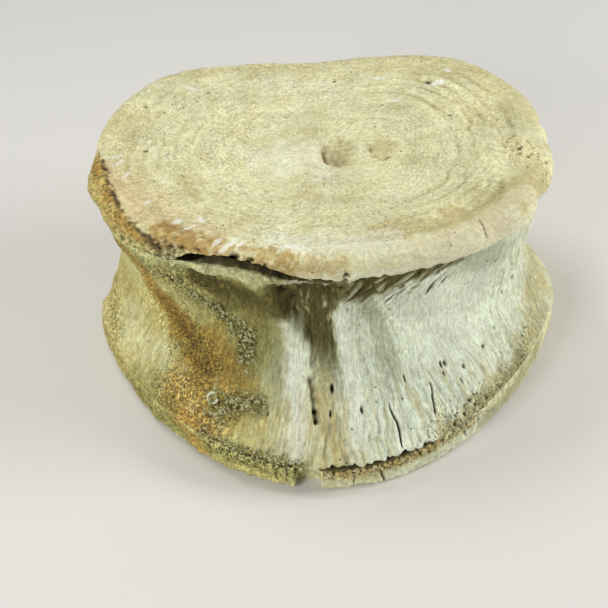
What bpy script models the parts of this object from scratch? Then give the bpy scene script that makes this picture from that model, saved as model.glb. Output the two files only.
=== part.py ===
"""Whale vertebra: the weathered body of a front thoracic vertebra, standing on one end.

The drum-shaped centrum carries a disc (epiphysis) on each end, both still parted from it
by an open growth seam. The arch that once rose behind is broken away and leaves two
stumps. Z runs up the bone's length, -Y faces its belly keel, and lengths are in mm.
"""

import bmesh
import bpy
import numpy as np

MM = 0.001

# driving sizes
LENGTH = 120.0
TOP_WIDTH = 244.0
BASE_WIDTH = 266.0
WAIST_WIDTH = 224.0

# outlines: radius as a share of half the width, every 22.5 degrees from keel to back
TOP_OUTLINE = (0.738, 0.770, 0.858, 0.955, 1.000, 1.030, 1.000, 0.830, 0.755)
BASE_OUTLINE = (0.990, 0.972, 0.938, 0.945, 0.998, 0.955, 0.870, 0.740, 0.675)
WAIST_OUTLINE = (0.705, 0.745, 0.830, 0.938, 1.014, 1.020, 0.975, 0.825, 0.750)
WAIST_HEIGHT = (68.0, 67.0, 64.0, 60.0, 56.0, 56.0, 58.0, 60.0, 60.0)
STATION_STEP = 22.5

# the flare of the wall from the waist to each end
UPPER_FLARE = 2.3
LOWER_FLARE = 1.65

# differences between the two sides: bearing from the keel, spread (degrees) and height
TOP_WORN_LEFT = (-38.0, 18.0, -6.0)
BASE_LOBE_RIGHT = (80.0, 25.0, 2.5)
WAIST_HOLLOW_LEFT = (-45.0, 30.0, -4.0)
WAIST_FULL_RIGHT = (60.0, 40.0, 2.0)
TOP_BEVEL_LEFT = (-85.0, 28.0, 2.5)
LIP_BROKEN_LEFT = (-40.0, 16.0, 4.0)
SHELF_LEFT = (-42.0, 16.0, 3.0)

# keel: a groove between two low ridges down the middle of the wall. Each edge of the groove
# is a path of heights and bearings, and the left one swings out into a funnel at the top.
KEEL_MM_PER_DEGREE = 1.5
GROOVE_LEFT_EDGE = ((20.0, -5.0), (43.0, -7.0), (55.0, -7.2), (75.0, -13.4), (95.0, -19.6))
FUNNEL_FOOT = 55.0
FUNNEL_SPREAD = 16.0
GROOVE_RIGHT_EDGE = ((26.0, 2.6), (41.0, 3.2), (55.0, 2.0), (86.0, 2.6))
RIDGE_LEFT_RISE = 3.6
RIDGE_RIGHT_RISE = 2.4
GROOVE_DEPTH = 2.6

# broad hollows and swellings of the wall: bearing, height, spread round and up, and rise
WALL_HOLLOWS = ((19.0, 58.0, 4.5, 22.0, -1.5), (-33.0, 78.0, 7.0, 16.0, -1.8))
# where the wall is fuller towards the top: bearing, spread, rise, and heights it grows over
WAIST_FILLS = ((-82.0, 16.0, 2.6, 68.0, 96.0), (80.0, 13.0, 2.0, 74.0, 98.0))

# growth seams between the centrum and its discs
SEAM_GAP = 0.3
TOP_SEAM = 106.0
BASE_SEAM = 15.0
BASE_SEAM_RISE = 4.0
TOP_LEDGE = 4.0
BASE_LEDGE = 0.5

# rims of the discs
TOP_RIM_ROUND = 8.0
TOP_LIP_ROUND = 3.0
BASE_RIM_ROUND = 4.0

# upper face: a shallow dish with a pit, a second dip and a swelling beside them
DISH_DEPTH = 2.5
PIT = (8.7, -3.1)
PIT_RADIUS = 6.5
PIT_DEPTH = 5.0
DIP = (34.5, -3.9)
DIP_RADIUS = 10.0
DIP_DEPTH = 1.5
SWELLING = (-14.0, -4.0)
SWELLING_RADIUS = 16.0
SWELLING_HEIGHT = 1.2

# the trough inside the near right rim: share of the way out, width, depth and bearings
TROUGH_SHARE = 0.86
TROUGH_WIDTH = 0.065
TROUGH_DEPTH = 1.8
TROUGH_BEARINGS = (6.0, 112.0)

# underside: a flat ring to stand on round a shallow dish
REST_RING_INNER = 0.72
UNDER_DISH_DEPTH = 3.0

# notch broken out of the lower rim, just left of the keel
NOTCH_WIDTH = 13.0
NOTCH_DEPTH = 7.5
NOTCH_BEARING = -7.0

# stumps of the broken arch, on the back of the wall
STUMP_BEARING = 146.0
STUMP_HALF_ANGLE = 11.0
STUMP_FOOT = 34.0
STUMP_HEAD = 102.0
STUMP_RISE = 9.0
STUMP_EDGE = 3.0
STUMP_SQUARENESS = 0.75
STUMP_GAP = 0.4

# mesh density
BEARINGS = 96
KEEL_CROWDING = 0.35
WALL_LEVELS = 11
RIM_STEPS = 4
STUMP_BEARINGS = 28
SEAM_RINGS = (0.55,)
FACE_RINGS = (0.93, 0.86, 0.79, 0.66, 0.52, 0.40, 0.29, 0.20, 0.13, 0.08, 0.04)
UNDER_RINGS = (0.30, 0.52)


def signed(bearing):
    """The bearing brought into -180..180 degrees."""
    return (np.asarray(bearing, float) + 180.0) % 360.0 - 180.0


def smooth_step(low, high, value):
    share = np.clip((value - low) / (high - low), 0.0, 1.0)
    return share * share * (3.0 - 2.0 * share)


def stations(values, bearing):
    """A smooth closed curve through one side's stations, the other side mirrored."""
    place = np.abs(signed(bearing)) / STATION_STEP
    index = np.minimum(place.astype(int), len(values) - 2)
    t = place - index
    padded = np.array((values[1],) + tuple(values) + (values[-2],))
    before, start, end, after = (padded[index + k] for k in range(4))
    curve = (2.0 * before - 5.0 * start + 4.0 * end - after) * t**2
    curve += (3.0 * start - before - 3.0 * end + after) * t**3
    return start + 0.5 * ((end - before) * t + curve)


def lump(bearing, centre, spread, height):
    """A rise, or a fall where the height is negative, around one bearing."""
    return height * np.exp(-(signed(bearing - centre) / spread) ** 2)


def top_radius(bearing):
    return TOP_WIDTH / 2.0 * stations(TOP_OUTLINE, bearing) + lump(bearing, *TOP_WORN_LEFT)


def base_radius(bearing):
    return BASE_WIDTH / 2.0 * stations(BASE_OUTLINE, bearing) + lump(bearing, *BASE_LOBE_RIGHT)


def base_seam(bearing):
    """Height of the lower seam, which climbs a little beside the keel."""
    away = np.abs(signed(bearing))
    fall = 0.6 * smooth_step(60.0, 120.0, away)
    return BASE_SEAM + BASE_SEAM_RISE * (smooth_step(4.0, 30.0, away) - fall)


def beyond(edge, bearing, height):
    """How far to the right of an edge of the keel's groove a place lies, in mm."""
    heights, bearings = np.array(edge).T
    return KEEL_MM_PER_DEGREE * signed(bearing - np.interp(height, heights, bearings))


def keel_relief(bearing, height):
    """Rise of the two ridges beside the keel's groove, and fall of the groove itself."""
    left = beyond(GROOVE_LEFT_EDGE, bearing, height)
    right = beyond(GROOVE_RIGHT_EDGE, bearing, height)
    left_flank = np.exp(-(np.minimum(left + 6.0, 0.0) / 8.0) ** 2)
    right_flank = np.exp(-(np.maximum(right - 4.0, 0.0) / 7.5) ** 2)
    rise = RIDGE_LEFT_RISE * smooth_step(2.0, -3.5, left) * left_flank
    rise += RIDGE_RIGHT_RISE * smooth_step(-1.8, 1.8, right) * right_flank
    groove = smooth_step(-1.5, 3.0, left) * smooth_step(0.8, -2.2, right)
    rise -= GROOVE_DEPTH * groove * smooth_step(34.0, 60.0, height)
    return rise * smooth_step(14.0, 34.0, height) * smooth_step(106.0, 92.0, height)


def wall_swell(bearing, height):
    """Rise and fall of the wall's broad swellings and hollows."""
    rise = sum(
        lump(bearing, middle, spread, swell) * smooth_step(low, high, height)
        for middle, spread, swell, low, high in WAIST_FILLS
    )
    return rise + sum(
        lump(bearing, middle, round_spread, swell) * np.exp(-((height - level) / up_spread) ** 2)
        for middle, level, round_spread, up_spread, swell in WALL_HOLLOWS
    )


def wall_radius(bearing, height):
    """Radius of the centrum's waisted wall."""
    waist_height = stations(WAIST_HEIGHT, bearing)
    waist = WAIST_WIDTH / 2.0 * stations(WAIST_OUTLINE, bearing)
    waist += lump(bearing, *WAIST_HOLLOW_LEFT) + lump(bearing, *WAIST_FULL_RIGHT)
    above = np.clip((height - waist_height) / (TOP_SEAM - waist_height), 0.0, 1.0)
    below = np.clip((waist_height - height) / (waist_height - base_seam(bearing)), 0.0, 1.0)
    top_edge = top_radius(bearing) - TOP_LEDGE + lump(bearing, *SHELF_LEFT)
    base_edge = base_radius(bearing) - BASE_LEDGE
    radius = waist + (top_edge - waist) * above**UPPER_FLARE
    radius += (base_edge - waist) * below**LOWER_FLARE
    return radius + keel_relief(bearing, height) + wall_swell(bearing, height)


def bump(x, y, centre, radius):
    return np.exp(-(((x - centre[0]) ** 2 + (y - centre[1]) ** 2) / radius**2) ** 1.5)


def trough_depth(bearing, share):
    """Depth of the trough that runs inside the near right rim."""
    start, end = TROUGH_BEARINGS
    along = smooth_step(start - 12.0, start + 12.0, bearing) * smooth_step(end + 12.0, end - 12.0, bearing)
    return TROUGH_DEPTH * along * np.exp(-(((share - TROUGH_SHARE) / TROUGH_WIDTH) ** 2))


def face_height(x, y, share):
    """Height of the upper face, where share runs from 0 at the pit to 1 at the rim."""
    height = LENGTH - DISH_DEPTH * smooth_step(1.0, 0.35, share)
    height -= trough_depth(np.degrees(np.arctan2(x, -y)), share)
    height -= PIT_DEPTH * bump(x, y, PIT, PIT_RADIUS)
    height -= DIP_DEPTH * bump(x, y, DIP, DIP_RADIUS)
    return height + SWELLING_HEIGHT * bump(x, y, SWELLING, SWELLING_RADIUS)


def columns():
    """Bearings of the mesh's columns, crowded towards the keel."""
    turn = np.linspace(0.0, 360.0, BEARINGS, endpoint=False)
    return turn - KEEL_CROWDING * np.degrees(np.sin(np.radians(turn)))


def ring(bearing, radius, height):
    """One closed ring of points; the keel is at bearing 0, facing -Y."""
    angle = np.radians(bearing)
    height = np.broadcast_to(height, bearing.shape)
    return np.stack([radius * np.sin(angle), -radius * np.cos(angle), height], axis=1)


def toward(rim, centre, share):
    """A ring drawn in from a rim towards a centre point."""
    return centre + (rim - centre) * share


def make_object(name, rings, first, last, material, collection):
    """A closed loft through the rings, capped by fans to the first and last points."""
    shape = bmesh.new()
    loops = [[shape.verts.new(point * MM) for point in points] for points in rings]
    ends = [shape.verts.new(np.asarray(point) * MM) for point in (first, last)]
    count = len(loops[0])
    for k in range(count):
        after = (k + 1) % count
        shape.faces.new((ends[0], loops[0][after], loops[0][k]))
        shape.faces.new((ends[1], loops[-1][k], loops[-1][after]))
        for lower, upper in zip(loops, loops[1:]):
            shape.faces.new((lower[k], lower[after], upper[after], upper[k]))
    bmesh.ops.recalc_face_normals(shape, faces=shape.faces)
    for face in shape.faces:
        face.smooth = True
    mesh = bpy.data.meshes.new(name)
    shape.to_mesh(mesh)
    shape.free()
    mesh.set_sharp_from_angle(angle=np.radians(50.0))
    mesh.materials.append(material)
    made = bpy.data.objects.new(name, mesh)
    collection.objects.link(made)
    return made


def make_material(name, colour, roughness):
    material = bpy.data.materials.new(name)
    material.use_nodes = True
    shader = material.node_tree.nodes["Principled BSDF"]
    shader.inputs["Base Color"].default_value = (*colour, 1.0)
    shader.inputs["Roughness"].default_value = roughness
    shader.inputs["Metallic"].default_value = 0.0
    return material


def seam_rings(edge, centre):
    """The rings of a seam face, from its middle out to its edge."""
    return [toward(edge, centre, share) for share in SEAM_RINGS] + [edge]


def leaning(bearing, height):
    """The columns' bearings, swung out so that one column follows the funnel's left edge."""
    heights, bearings = np.array(GROOVE_LEFT_EDGE).T
    straight = np.interp(FUNNEL_FOOT, heights, bearings)
    swing = np.minimum(np.interp(height, heights, bearings) - straight, 0.0)
    return bearing + lump(bearing, straight, FUNNEL_SPREAD, 1.0) * swing * (height > FUNNEL_FOOT)


def make_centrum(bearing, collection):
    """The waisted drum between the two seams."""
    half_gap = SEAM_GAP / 2.0
    foot = base_seam(bearing) + half_gap
    head = TOP_SEAM - half_gap
    walls = []
    for level in range(WALL_LEVELS + 1):
        height = foot + (head - foot) * level / WALL_LEVELS
        bent = leaning(bearing, height)
        walls.append(ring(bent, wall_radius(bent, height), height))
    low_centre = np.array((0.0, 0.0, BASE_SEAM + half_gap))
    high_centre = np.array((0.0, 0.0, head))
    lower = seam_rings(walls[0], low_centre)
    upper = seam_rings(walls[-1], high_centre)[::-1]
    material = make_material("weathered_bone_wall", (0.47, 0.42, 0.29), 0.85)
    rings = lower + walls[1:-1] + upper
    return make_object("centrum", rings, low_centre, high_centre, material, collection)


def make_top_disc(bearing, collection):
    """The upper epiphysis: a lipped disc with a dished face and a central pit."""
    rim = top_radius(bearing)
    rounding = TOP_RIM_ROUND + lump(bearing, *TOP_BEVEL_LEFT)
    ledge = TOP_LEDGE + lump(bearing, *LIP_BROKEN_LEFT)
    underside = TOP_SEAM + SEAM_GAP / 2.0
    low_centre = np.array((0.0, 0.0, underside))
    rings = seam_rings(ring(bearing, rim - ledge, underside), low_centre)
    rings.append(ring(bearing, rim - 0.3 * ledge, underside + 0.4 * TOP_LIP_ROUND))
    rings.append(ring(bearing, rim, underside + TOP_LIP_ROUND))
    for step in range(RIM_STEPS + 1):
        turn = 0.5 * np.pi * step / RIM_STEPS
        inward = rounding * (1.0 - np.cos(turn))
        height = LENGTH - rounding * (1.0 - np.sin(turn))
        rings.append(ring(bearing, rim - inward, height))
    pit = np.array((*PIT, LENGTH))
    edge = rings[-1]
    for share in FACE_RINGS:
        points = toward(edge, pit, share)
        points[:, 2] = face_height(points[:, 0], points[:, 1], share)
        rings.append(points)
    last = (*PIT, float(face_height(*PIT, 0.0)))
    material = make_material("pale_disc_bone", (0.56, 0.50, 0.33), 0.8)
    return make_object("epiphysis_top", rings, low_centre, last, material, collection)


def make_base_disc(bearing, collection, cutters):
    """The lower epiphysis: a thinner disc with a flat resting ring and a broken notch."""
    rim = base_radius(bearing)
    first = (0.0, 0.0, UNDER_DISH_DEPTH)
    flat_edge = ring(bearing, rim - BASE_RIM_ROUND, 0.0)
    floor_centre = np.zeros(3)
    rings = []
    for share in UNDER_RINGS:
        points = toward(flat_edge, floor_centre, share)
        points[:, 2] = UNDER_DISH_DEPTH * smooth_step(REST_RING_INNER, 0.2, share)
        rings.append(points)
    rings.append(toward(flat_edge, floor_centre, REST_RING_INNER))
    rings.append(flat_edge)
    for step in range(1, RIM_STEPS + 1):
        turn = 0.5 * np.pi * step / RIM_STEPS
        inward = BASE_RIM_ROUND * (1.0 - np.sin(turn))
        height = BASE_RIM_ROUND * (1.0 - np.cos(turn))
        rings.append(ring(bearing, rim - inward, height))
    seam = base_seam(bearing) - SEAM_GAP / 2.0
    rings.append(ring(bearing, rim, seam - 2.0))
    high_centre = np.array((0.0, 0.0, BASE_SEAM - SEAM_GAP / 2.0))
    rings += seam_rings(ring(bearing, rim - BASE_LEDGE, seam), high_centre)[::-1]
    material = make_material("stained_disc_bone", (0.42, 0.37, 0.23), 0.88)
    disc = make_object("epiphysis_bottom", rings, first, high_centre, material, collection)
    cut_notch(disc, cutters)
    return disc


def cut_notch(disc, cutters):
    """Cut the square notch through the lower rim."""
    place = ring(np.array([NOTCH_BEARING]), base_radius(np.array([NOTCH_BEARING])), 0.0)[0]
    shape = bmesh.new()
    bmesh.ops.create_cube(shape, size=1.0)
    size = (NOTCH_WIDTH * MM, 2.0 * NOTCH_DEPTH * MM, 2.0 * BASE_SEAM * MM)
    bmesh.ops.scale(shape, vec=size, verts=shape.verts)
    mesh = bpy.data.meshes.new("notch_cutter")
    shape.to_mesh(mesh)
    shape.free()
    cutter = bpy.data.objects.new("notch_cutter", mesh)
    cutter.location = place * MM
    cutter.rotation_euler = (0.0, 0.0, np.radians(NOTCH_BEARING))
    cutter.hide_render = True
    cutter.display_type = "WIRE"
    cutters.objects.link(cutter)
    cut = disc.modifiers.new("notch", "BOOLEAN")
    cut.operation = "DIFFERENCE"
    cut.solver = "EXACT"
    cut.object = cutter


def make_stump(name, side, collection):
    """The ragged foot of one half of the arch, a long patch on the back of the wall."""
    turn = np.linspace(0.0, 2.0 * np.pi, STUMP_BEARINGS, endpoint=False) * side
    across, along = (
        np.sign(wave) * np.abs(wave) ** STUMP_SQUARENESS for wave in (np.sin(turn), np.cos(turn))
    )
    middle = (STUMP_FOOT + STUMP_HEAD) / 2.0
    half_height = (STUMP_HEAD - STUMP_FOOT) / 2.0

    def place(share, rise):
        bearing = side * STUMP_BEARING + share * STUMP_HALF_ANGLE * across
        height = middle + share * half_height * along
        ragged = rise * (1.0 + share * (0.14 * np.sin(5.0 * turn) + 0.08 * np.cos(8.0 * turn)))
        return ring(bearing, wall_radius(bearing, height) + STUMP_GAP + ragged, height)

    inner = [place(share, 0.0) for share in (0.35, 0.7, 1.0)]
    outer = [place(1.0, STUMP_EDGE), place(0.9, 0.75 * STUMP_RISE)]
    outer += [place(0.7, STUMP_RISE), place(0.35, STUMP_RISE)]
    first = place(0.0, 0.0)[0]
    last = place(0.0, 0.9 * STUMP_RISE)[0]
    material = make_material("broken_" + name, (0.40, 0.33, 0.22), 0.95)
    return make_object(name, inner + outer, first, last, material, collection)


def centre_on_origin(pieces, cutters):
    """Move everything so that the origin is at the bottom centre of the bounding box."""
    points = np.array([point.co for piece in pieces for point in piece.data.vertices])
    middle = (points.min(axis=0) + points.max(axis=0)) / 2.0
    for item in list(pieces) + list(cutters.objects):
        item.location.x -= middle[0]
        item.location.y -= middle[1]


def main():
    for item in list(bpy.data.objects):
        bpy.data.objects.remove(item, do_unlink=True)
    vertebra = bpy.data.collections.new("whale_vertebra")
    cutters = bpy.data.collections.new("cutters")
    for group in (vertebra, cutters):
        bpy.context.scene.collection.children.link(group)
    bearing = columns()
    pieces = [
        make_centrum(bearing, vertebra),
        make_top_disc(bearing, vertebra),
        make_base_disc(bearing, vertebra, cutters),
        make_stump("arch_stump_left", -1.0, vertebra),
        make_stump("arch_stump_right", 1.0, vertebra),
    ]
    centre_on_origin(pieces, cutters)


main()
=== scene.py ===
"""Looks of the whale vertebra: weathered, stained and crusted bone, life-size.

Lengths are in millimetres round the axis of the bone's outline, and are turned to metres in
the row frame when a mesh is made. A bearing is in degrees round the bone, 0 at the belly
keel, which faces -Y, and positive towards +X. Left and right are the viewer's.
"""

import bpy
import numpy as np
from mathutils import Euler, Matrix, Vector


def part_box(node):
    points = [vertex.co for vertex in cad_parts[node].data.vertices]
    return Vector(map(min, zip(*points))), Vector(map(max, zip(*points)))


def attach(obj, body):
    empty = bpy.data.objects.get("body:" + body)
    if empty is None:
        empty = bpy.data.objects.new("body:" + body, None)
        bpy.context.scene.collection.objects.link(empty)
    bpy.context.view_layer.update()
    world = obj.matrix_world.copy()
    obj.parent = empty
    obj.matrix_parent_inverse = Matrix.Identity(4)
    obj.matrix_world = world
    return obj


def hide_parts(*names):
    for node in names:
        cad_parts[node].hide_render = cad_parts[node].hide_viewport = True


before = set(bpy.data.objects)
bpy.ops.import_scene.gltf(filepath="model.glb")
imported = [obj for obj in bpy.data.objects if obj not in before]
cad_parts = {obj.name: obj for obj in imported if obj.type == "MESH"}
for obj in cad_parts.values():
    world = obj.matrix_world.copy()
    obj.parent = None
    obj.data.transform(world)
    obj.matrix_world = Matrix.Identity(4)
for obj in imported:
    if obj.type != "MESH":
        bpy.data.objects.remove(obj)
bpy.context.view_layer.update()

MM = 0.001

# ---------------------------------------------------------------- sizes shared with the solids
LENGTH = 120.0
TOP_WIDTH = 244.0
BASE_WIDTH = 266.0
WAIST_WIDTH = 224.0
# radius at each station from the keel round to the back, as a share of half the width
TOP_OUTLINE = (0.738, 0.770, 0.858, 0.955, 1.000, 1.030, 1.000, 0.830, 0.755)
BASE_OUTLINE = (0.990, 0.972, 0.938, 0.945, 0.998, 0.955, 0.870, 0.740, 0.675)
WAIST_OUTLINE = (0.705, 0.745, 0.830, 0.938, 1.014, 1.020, 0.975, 0.825, 0.750)
# height of the narrowest place at each station
WAIST_HEIGHT = (68.0, 67.0, 64.0, 60.0, 56.0, 56.0, 58.0, 60.0, 60.0)
STATION_STEP = 22.5
UPPER_FLARE = 2.3
LOWER_FLARE = 1.65
# where one side leaves that outline: bearing, spread and rise
TOP_WORN_LEFT = (-38.0, 18.0, -6.0)
BASE_LOBE_RIGHT = (80.0, 25.0, 2.5)
WAIST_HOLLOW_LEFT = (-45.0, 30.0, -4.0)
WAIST_FULL_RIGHT = (60.0, 40.0, 2.0)
TOP_BEVEL_LEFT = (-85.0, 28.0, 2.5)
LIP_BROKEN_LEFT = (-40.0, 16.0, 4.0)
SHELF_LEFT = (-42.0, 16.0, 3.0)
TOP_SEAM = 106.0
TOP_LEDGE = 4.0
BASE_LEDGE = 0.5
TOP_RIM_ROUND = 8.0
TOP_LIP_ROUND = 3.0
BASE_RIM_ROUND = 4.0
DISH_DEPTH = 2.5
PIT = (8.7, -3.1)
PIT_RADIUS = 6.5
PIT_DEPTH = 5.0
DIP = (34.5, -3.9)
DIP_RADIUS = 10.0
DIP_DEPTH = 1.5
SWELLING = (-14.0, -4.0)
SWELLING_RADIUS = 16.0
SWELLING_HEIGHT = 1.2
REST_RING_INNER = 0.72
UNDER_DISH_DEPTH = 3.0
NOTCH_WIDTH = 13.0
NOTCH_DEPTH = 7.5
NOTCH_BEARING = -7.0
STUMP_BEARING = 146.0
STUMP_HALF_ANGLE = 11.0
STUMP_FOOT = 34.0
STUMP_HEAD = 102.0
STUMP_RISE = 9.0
# the columns of points that the outline of the solids is drawn with
FRAME_BEARINGS = 96
FRAME_CROWDING = 0.35
KEEL_MM_PER_DEGREE = 1.5
# edges of the keel's groove: height and bearing
GROOVE_LEFT_EDGE = ((20.0, -5.0), (43.0, -7.0), (55.0, -7.2), (75.0, -13.4), (95.0, -19.6))
GROOVE_RIGHT_EDGE = ((26.0, 2.6), (41.0, 3.2), (55.0, 2.0), (86.0, 2.6))
RIDGE_LEFT_RISE = 3.6
RIDGE_RIGHT_RISE = 2.4
GROOVE_DEPTH = 2.6
# hollows and swells of the wall: bearing, height, spread round and up, and rise; the last four
# are finer than the solids and are only here
WALL_HOLLOWS = (
    (19.0, 58.0, 4.5, 22.0, -1.5), (-33.0, 78.0, 7.0, 16.0, -1.8),
    (-92.0, 47.0, 9.0, 16.0, 2.4), (-76.0, 86.0, 5.0, 7.0, 1.6),
    (76.0, 101.0, 5.0, 6.0, -1.8), (80.0, 80.0, 8.0, 9.0, 1.6))
# where the wall is fuller towards the top: bearing, spread, rise and the heights it grows over
WAIST_FILLS = ((-82.0, 16.0, 2.6, 68.0, 96.0), (80.0, 13.0, 2.0, 74.0, 98.0))
TROUGH_SHARE = 0.86
TROUGH_WIDTH = 0.065
TROUGH_DEPTH = 1.8
TROUGH_BEARINGS = (6.0, 112.0)

# ---------------------------------------------------------------- mesh density
COLUMNS = 736
KEEL_CROWDING = 0.42
WALL_RINGS = 118
SEAM_CROWDING = 0.35
FACE_RINGS = 96
# on rings drawn in to less than this share of the way out, only every so many points are kept
THINNING = ((0.12, 8), (0.26, 4), (0.52, 2))
# radius of the plain drum on which the wall is laid flat and waves are drawn
FLAT_RADIUS = 100.0
# how many times longer than wide the grain of each skin is drawn
WALL_GRAIN = 4.2
BASE_GRAIN = 4.0
STUMP_GRAIN = 11.0
# the upper face's grain is drawn over these lengths, round the pit and out from it
FACE_GRAIN_ROUND = 62.0
FACE_GRAIN_OUT = 108.0
BAND_STRETCH = np.array([0.30, 0.30, 1.0])

# ---------------------------------------------------------------- the open growth seams
LOW_SEAM_FOOT = 15.0
LOW_SEAM_RISE = 4.0
LOW_CRACK_SPAN = (-5.0, 23.0)
LOW_CRACK_WIDTH = 2.6
LOW_PORES_SPAN = (-31.0, -6.0)
HIGH_CRACK_SPAN = (-17.0, 38.0)
CLOSED_GAP = 0.3
SEAM_CLOSES = 14.0
# rings of a seam's mouth: how far in, how far towards the closed seam, and how dark
SEAM_MOUTH = (
    (0.6, 0.08, 0.10), (1.8, 0.28, 0.35), (3.4, 0.60, 0.65), (5.2, 0.90, 0.90),
    (SEAM_CLOSES, 1.0, 1.0))
# the upper seam's mouth in finer steps; then the same rings where it gapes: the rough slope that
# rises behind the wall's ledge, and the broken underside behind the disc's lip
HIGH_MOUTH = (
    (0.3, 0.04, 0.05), (0.8, 0.10, 0.15), (1.4, 0.20, 0.25), (2.0, 0.32, 0.38), (2.8, 0.48, 0.55),
    (3.6, 0.64, 0.70), (4.6, 0.82, 0.85), (6.0, 0.93, 0.95), (SEAM_CLOSES, 1.0, 1.0))
LEDGE_MOUTH = (
    (0.8, -0.05, 0.0), (1.7, -0.25, 0.10), (2.7, -0.65, 0.25), (3.7, -1.05, 0.40), (4.7, -1.25, 0.50),
    (5.7, -1.15, 0.55), (6.9, -0.70, 0.60), (8.4, 0.0, 0.70), (SEAM_CLOSES, 1.0, 1.0))
BROKEN_MOUTH = (
    (0.2, 0.05, 0.05), (0.5, 0.13, 0.15), (0.8, 0.23, 0.25), (1.1, 0.36, 0.38), (1.5, 0.52, 0.50),
    (2.0, 0.68, 0.55), (3.2, 0.84, 0.60), (5.4, 0.94, 0.70), (SEAM_CLOSES, 1.0, 1.0))
# where it gapes, and the heights, by bearing, of the wall's ledge and of the disc's broken lip
GAPE_SPAN = (-41.5, -15.0)
LEDGE_HEIGHTS = (
    (-56.0, 105.8), (-50.0, 106.4), (-46.0, 108.2), (-41.0, 108.9), (-36.0, 109.0), (-28.0, 108.8),
    (-21.0, 107.8), (-15.5, 106.6), (-11.0, 105.8))
LIP_HEIGHTS = (
    (-60.0, 106.2), (-48.5, 106.6), (-46.5, 109.4), (-44.0, 114.0), (-40.0, 116.2), (-34.0, 117.2),
    (-24.0, 117.4), (-20.0, 116.6), (-16.5, 113.8), (-12.0, 110.6), (-8.0, 107.4), (-5.0, 106.2))
# where rough bone bridges the seam
FILLED_SPAN = (-68.0, -47.0)
# how far the ledge stands out, how thick it is, and how much sharper the broken lip's edge is
LEDGE_RISE = 3.0
LEDGE_THICK = 9.0
LIP_SHARPER = 4.0
# steps and chips in the outline of the upper rim: bearing, spread and rise
RIM_STEPS = (
    (-99.5, 6.5, -1.6), (-86.0, 4.5, 2.8), (-75.5, 3.0, -1.0),
    (99.4, 2.0, -1.4), (90.5, 1.6, -1.3), (82.0, 5.0, 0.8), (70.6, 3.4, -3.0),
)
# the lower rim is worn back a little at the far left: bearing, spread and rise
BASE_WORN = (-95.8, 4.4, -3.0)

# blood-vessel holes in the wall: bearing, height, half width, half length
FORAMINA = (
    (-0.4, 40.0, 0.95, 2.3), (-5.6, 32.4, 0.85, 1.1), (-5.2, 29.0, 0.8, 1.0), (-1.3, 31.6, 0.5, 1.6),
    (7.4, 32.0, 0.8, 2.0), (-20.5, 34.3, 0.5, 0.9), (-18.2, 31.0, 0.45, 1.0), (6.4, 81.0, 0.9, 1.8),
    (21.2, 75.5, 0.7, 0.8), (21.7, 40.5, 0.4, 1.5), (33.8, 40.5, 0.5, 1.6), (35.1, 40.2, 0.65, 1.4),
    (33.5, 36.8, 0.5, 0.6), (39.9, 35.3, 0.9, 1.0), (37.3, 31.2, 0.5, 1.3), (48.6, 37.6, 0.85, 0.85),
    (55.4, 41.2, 0.6, 0.7), (62.8, 54.5, 0.7, 0.7), (69.4, 55.5, 0.9, 1.0), (53.3, 88.7, 0.6, 0.6),
    (57.4, 83.1, 0.6, 0.6), (-13.5, 52.0, 0.5, 0.7), (-56.0, 83.5, 1.6, 3.4), (-51.5, 87.0, 1.2, 2.2),
    (27.0, 18.6, 1.1, 0.9), (29.5, 20.4, 0.9, 0.9), (31.6, 18.0, 1.2, 0.8), (33.2, 21.2, 0.7, 0.8),
    (35.0, 19.0, 1.1, 0.9), (37.2, 21.6, 0.9, 0.8), (38.6, 18.6, 1.0, 0.9), (41.2, 20.6, 0.9, 0.7),
    (43.2, 18.8, 1.1, 0.8), (30.8, 22.4, 0.6, 0.6), (36.4, 23.8, 0.7, 0.8), (46.5, 20.0, 0.8, 0.7),
    (172.0, 62.0, 2.2, 3.4), (188.5, 58.0, 2.0, 3.0), (104.0, 48.0, 0.9, 1.4), (118.0, 71.0, 0.8, 1.0),
    (-103.0, 66.0, 0.9, 1.2), (-121.0, 52.0, 1.0, 1.5), (131.0, 44.0, 0.7, 1.1),
)
# clefts between the struts under the upper disc: bearing, height, half width, half length and
# how far each leans to the right, in degrees
CLEFTS = (
    (10.6, 102.8, 1.7, 4.0, 84), (24.6, 94.0, 2.0, 2.6, 35), (20.6, 84.0, 0.9, 2.8, 38),
    (34.0, 85.0, 1.0, 3.6, 33), (38.4, 88.0, 0.9, 3.2, 33), (15.5, 98.6, 1.1, 3.0, 70),
    (29.5, 99.5, 1.3, 3.4, 66), (28.6, 91.0, 0.9, 2.4, 35), (18.6, 93.0, 0.9, 2.4, 35),
    (-13.4, 86.5, 1.8, 3.0, -48), (-9.2, 94.6, 1.6, 3.6, -70), (-3.2, 98.6, 1.4, 3.0, 80),
    (3.6, 97.8, 1.3, 2.6, 75), (-16.0, 92.0, 1.6, 3.0, -40), (36.5, 97.5, 1.2, 3.2, 55),
    (42.0, 99.5, 0.9, 2.4, 70),
)
FORAMEN_DEPTH = 2.8
CLEFT_DEPTH = 2.6

# splits along the grain: half width, then bearing and height of each point, widest in the middle
FISSURES = (
    (0.60, ((15.0, 32.8), (15.3, 29.5), (15.9, 26.5), (15.8, 23.8), (15.5, 21.0), (15.3, 19.0))),
    (0.50, ((28.3, 36.0), (28.1, 33.5), (27.1, 30.8), (26.6, 28.0), (25.6, 25.0))),
    (0.30, ((4.3, 33.0), (4.0, 29.5), (4.2, 26.0))),
    (0.28, ((-12.0, 40.0), (-11.6, 35.0), (-11.8, 31.0))),
)
FISSURE_DEPTH = 2.2
FURROW_DEPTH = 1.8
# the dark furrow at the foot of the left ridge, which holds two of the holes
FURROW = ((-7.0, 43.0), (-6.3, 39.0), (-5.7, 34.0), (-5.2, 29.5))

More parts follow.
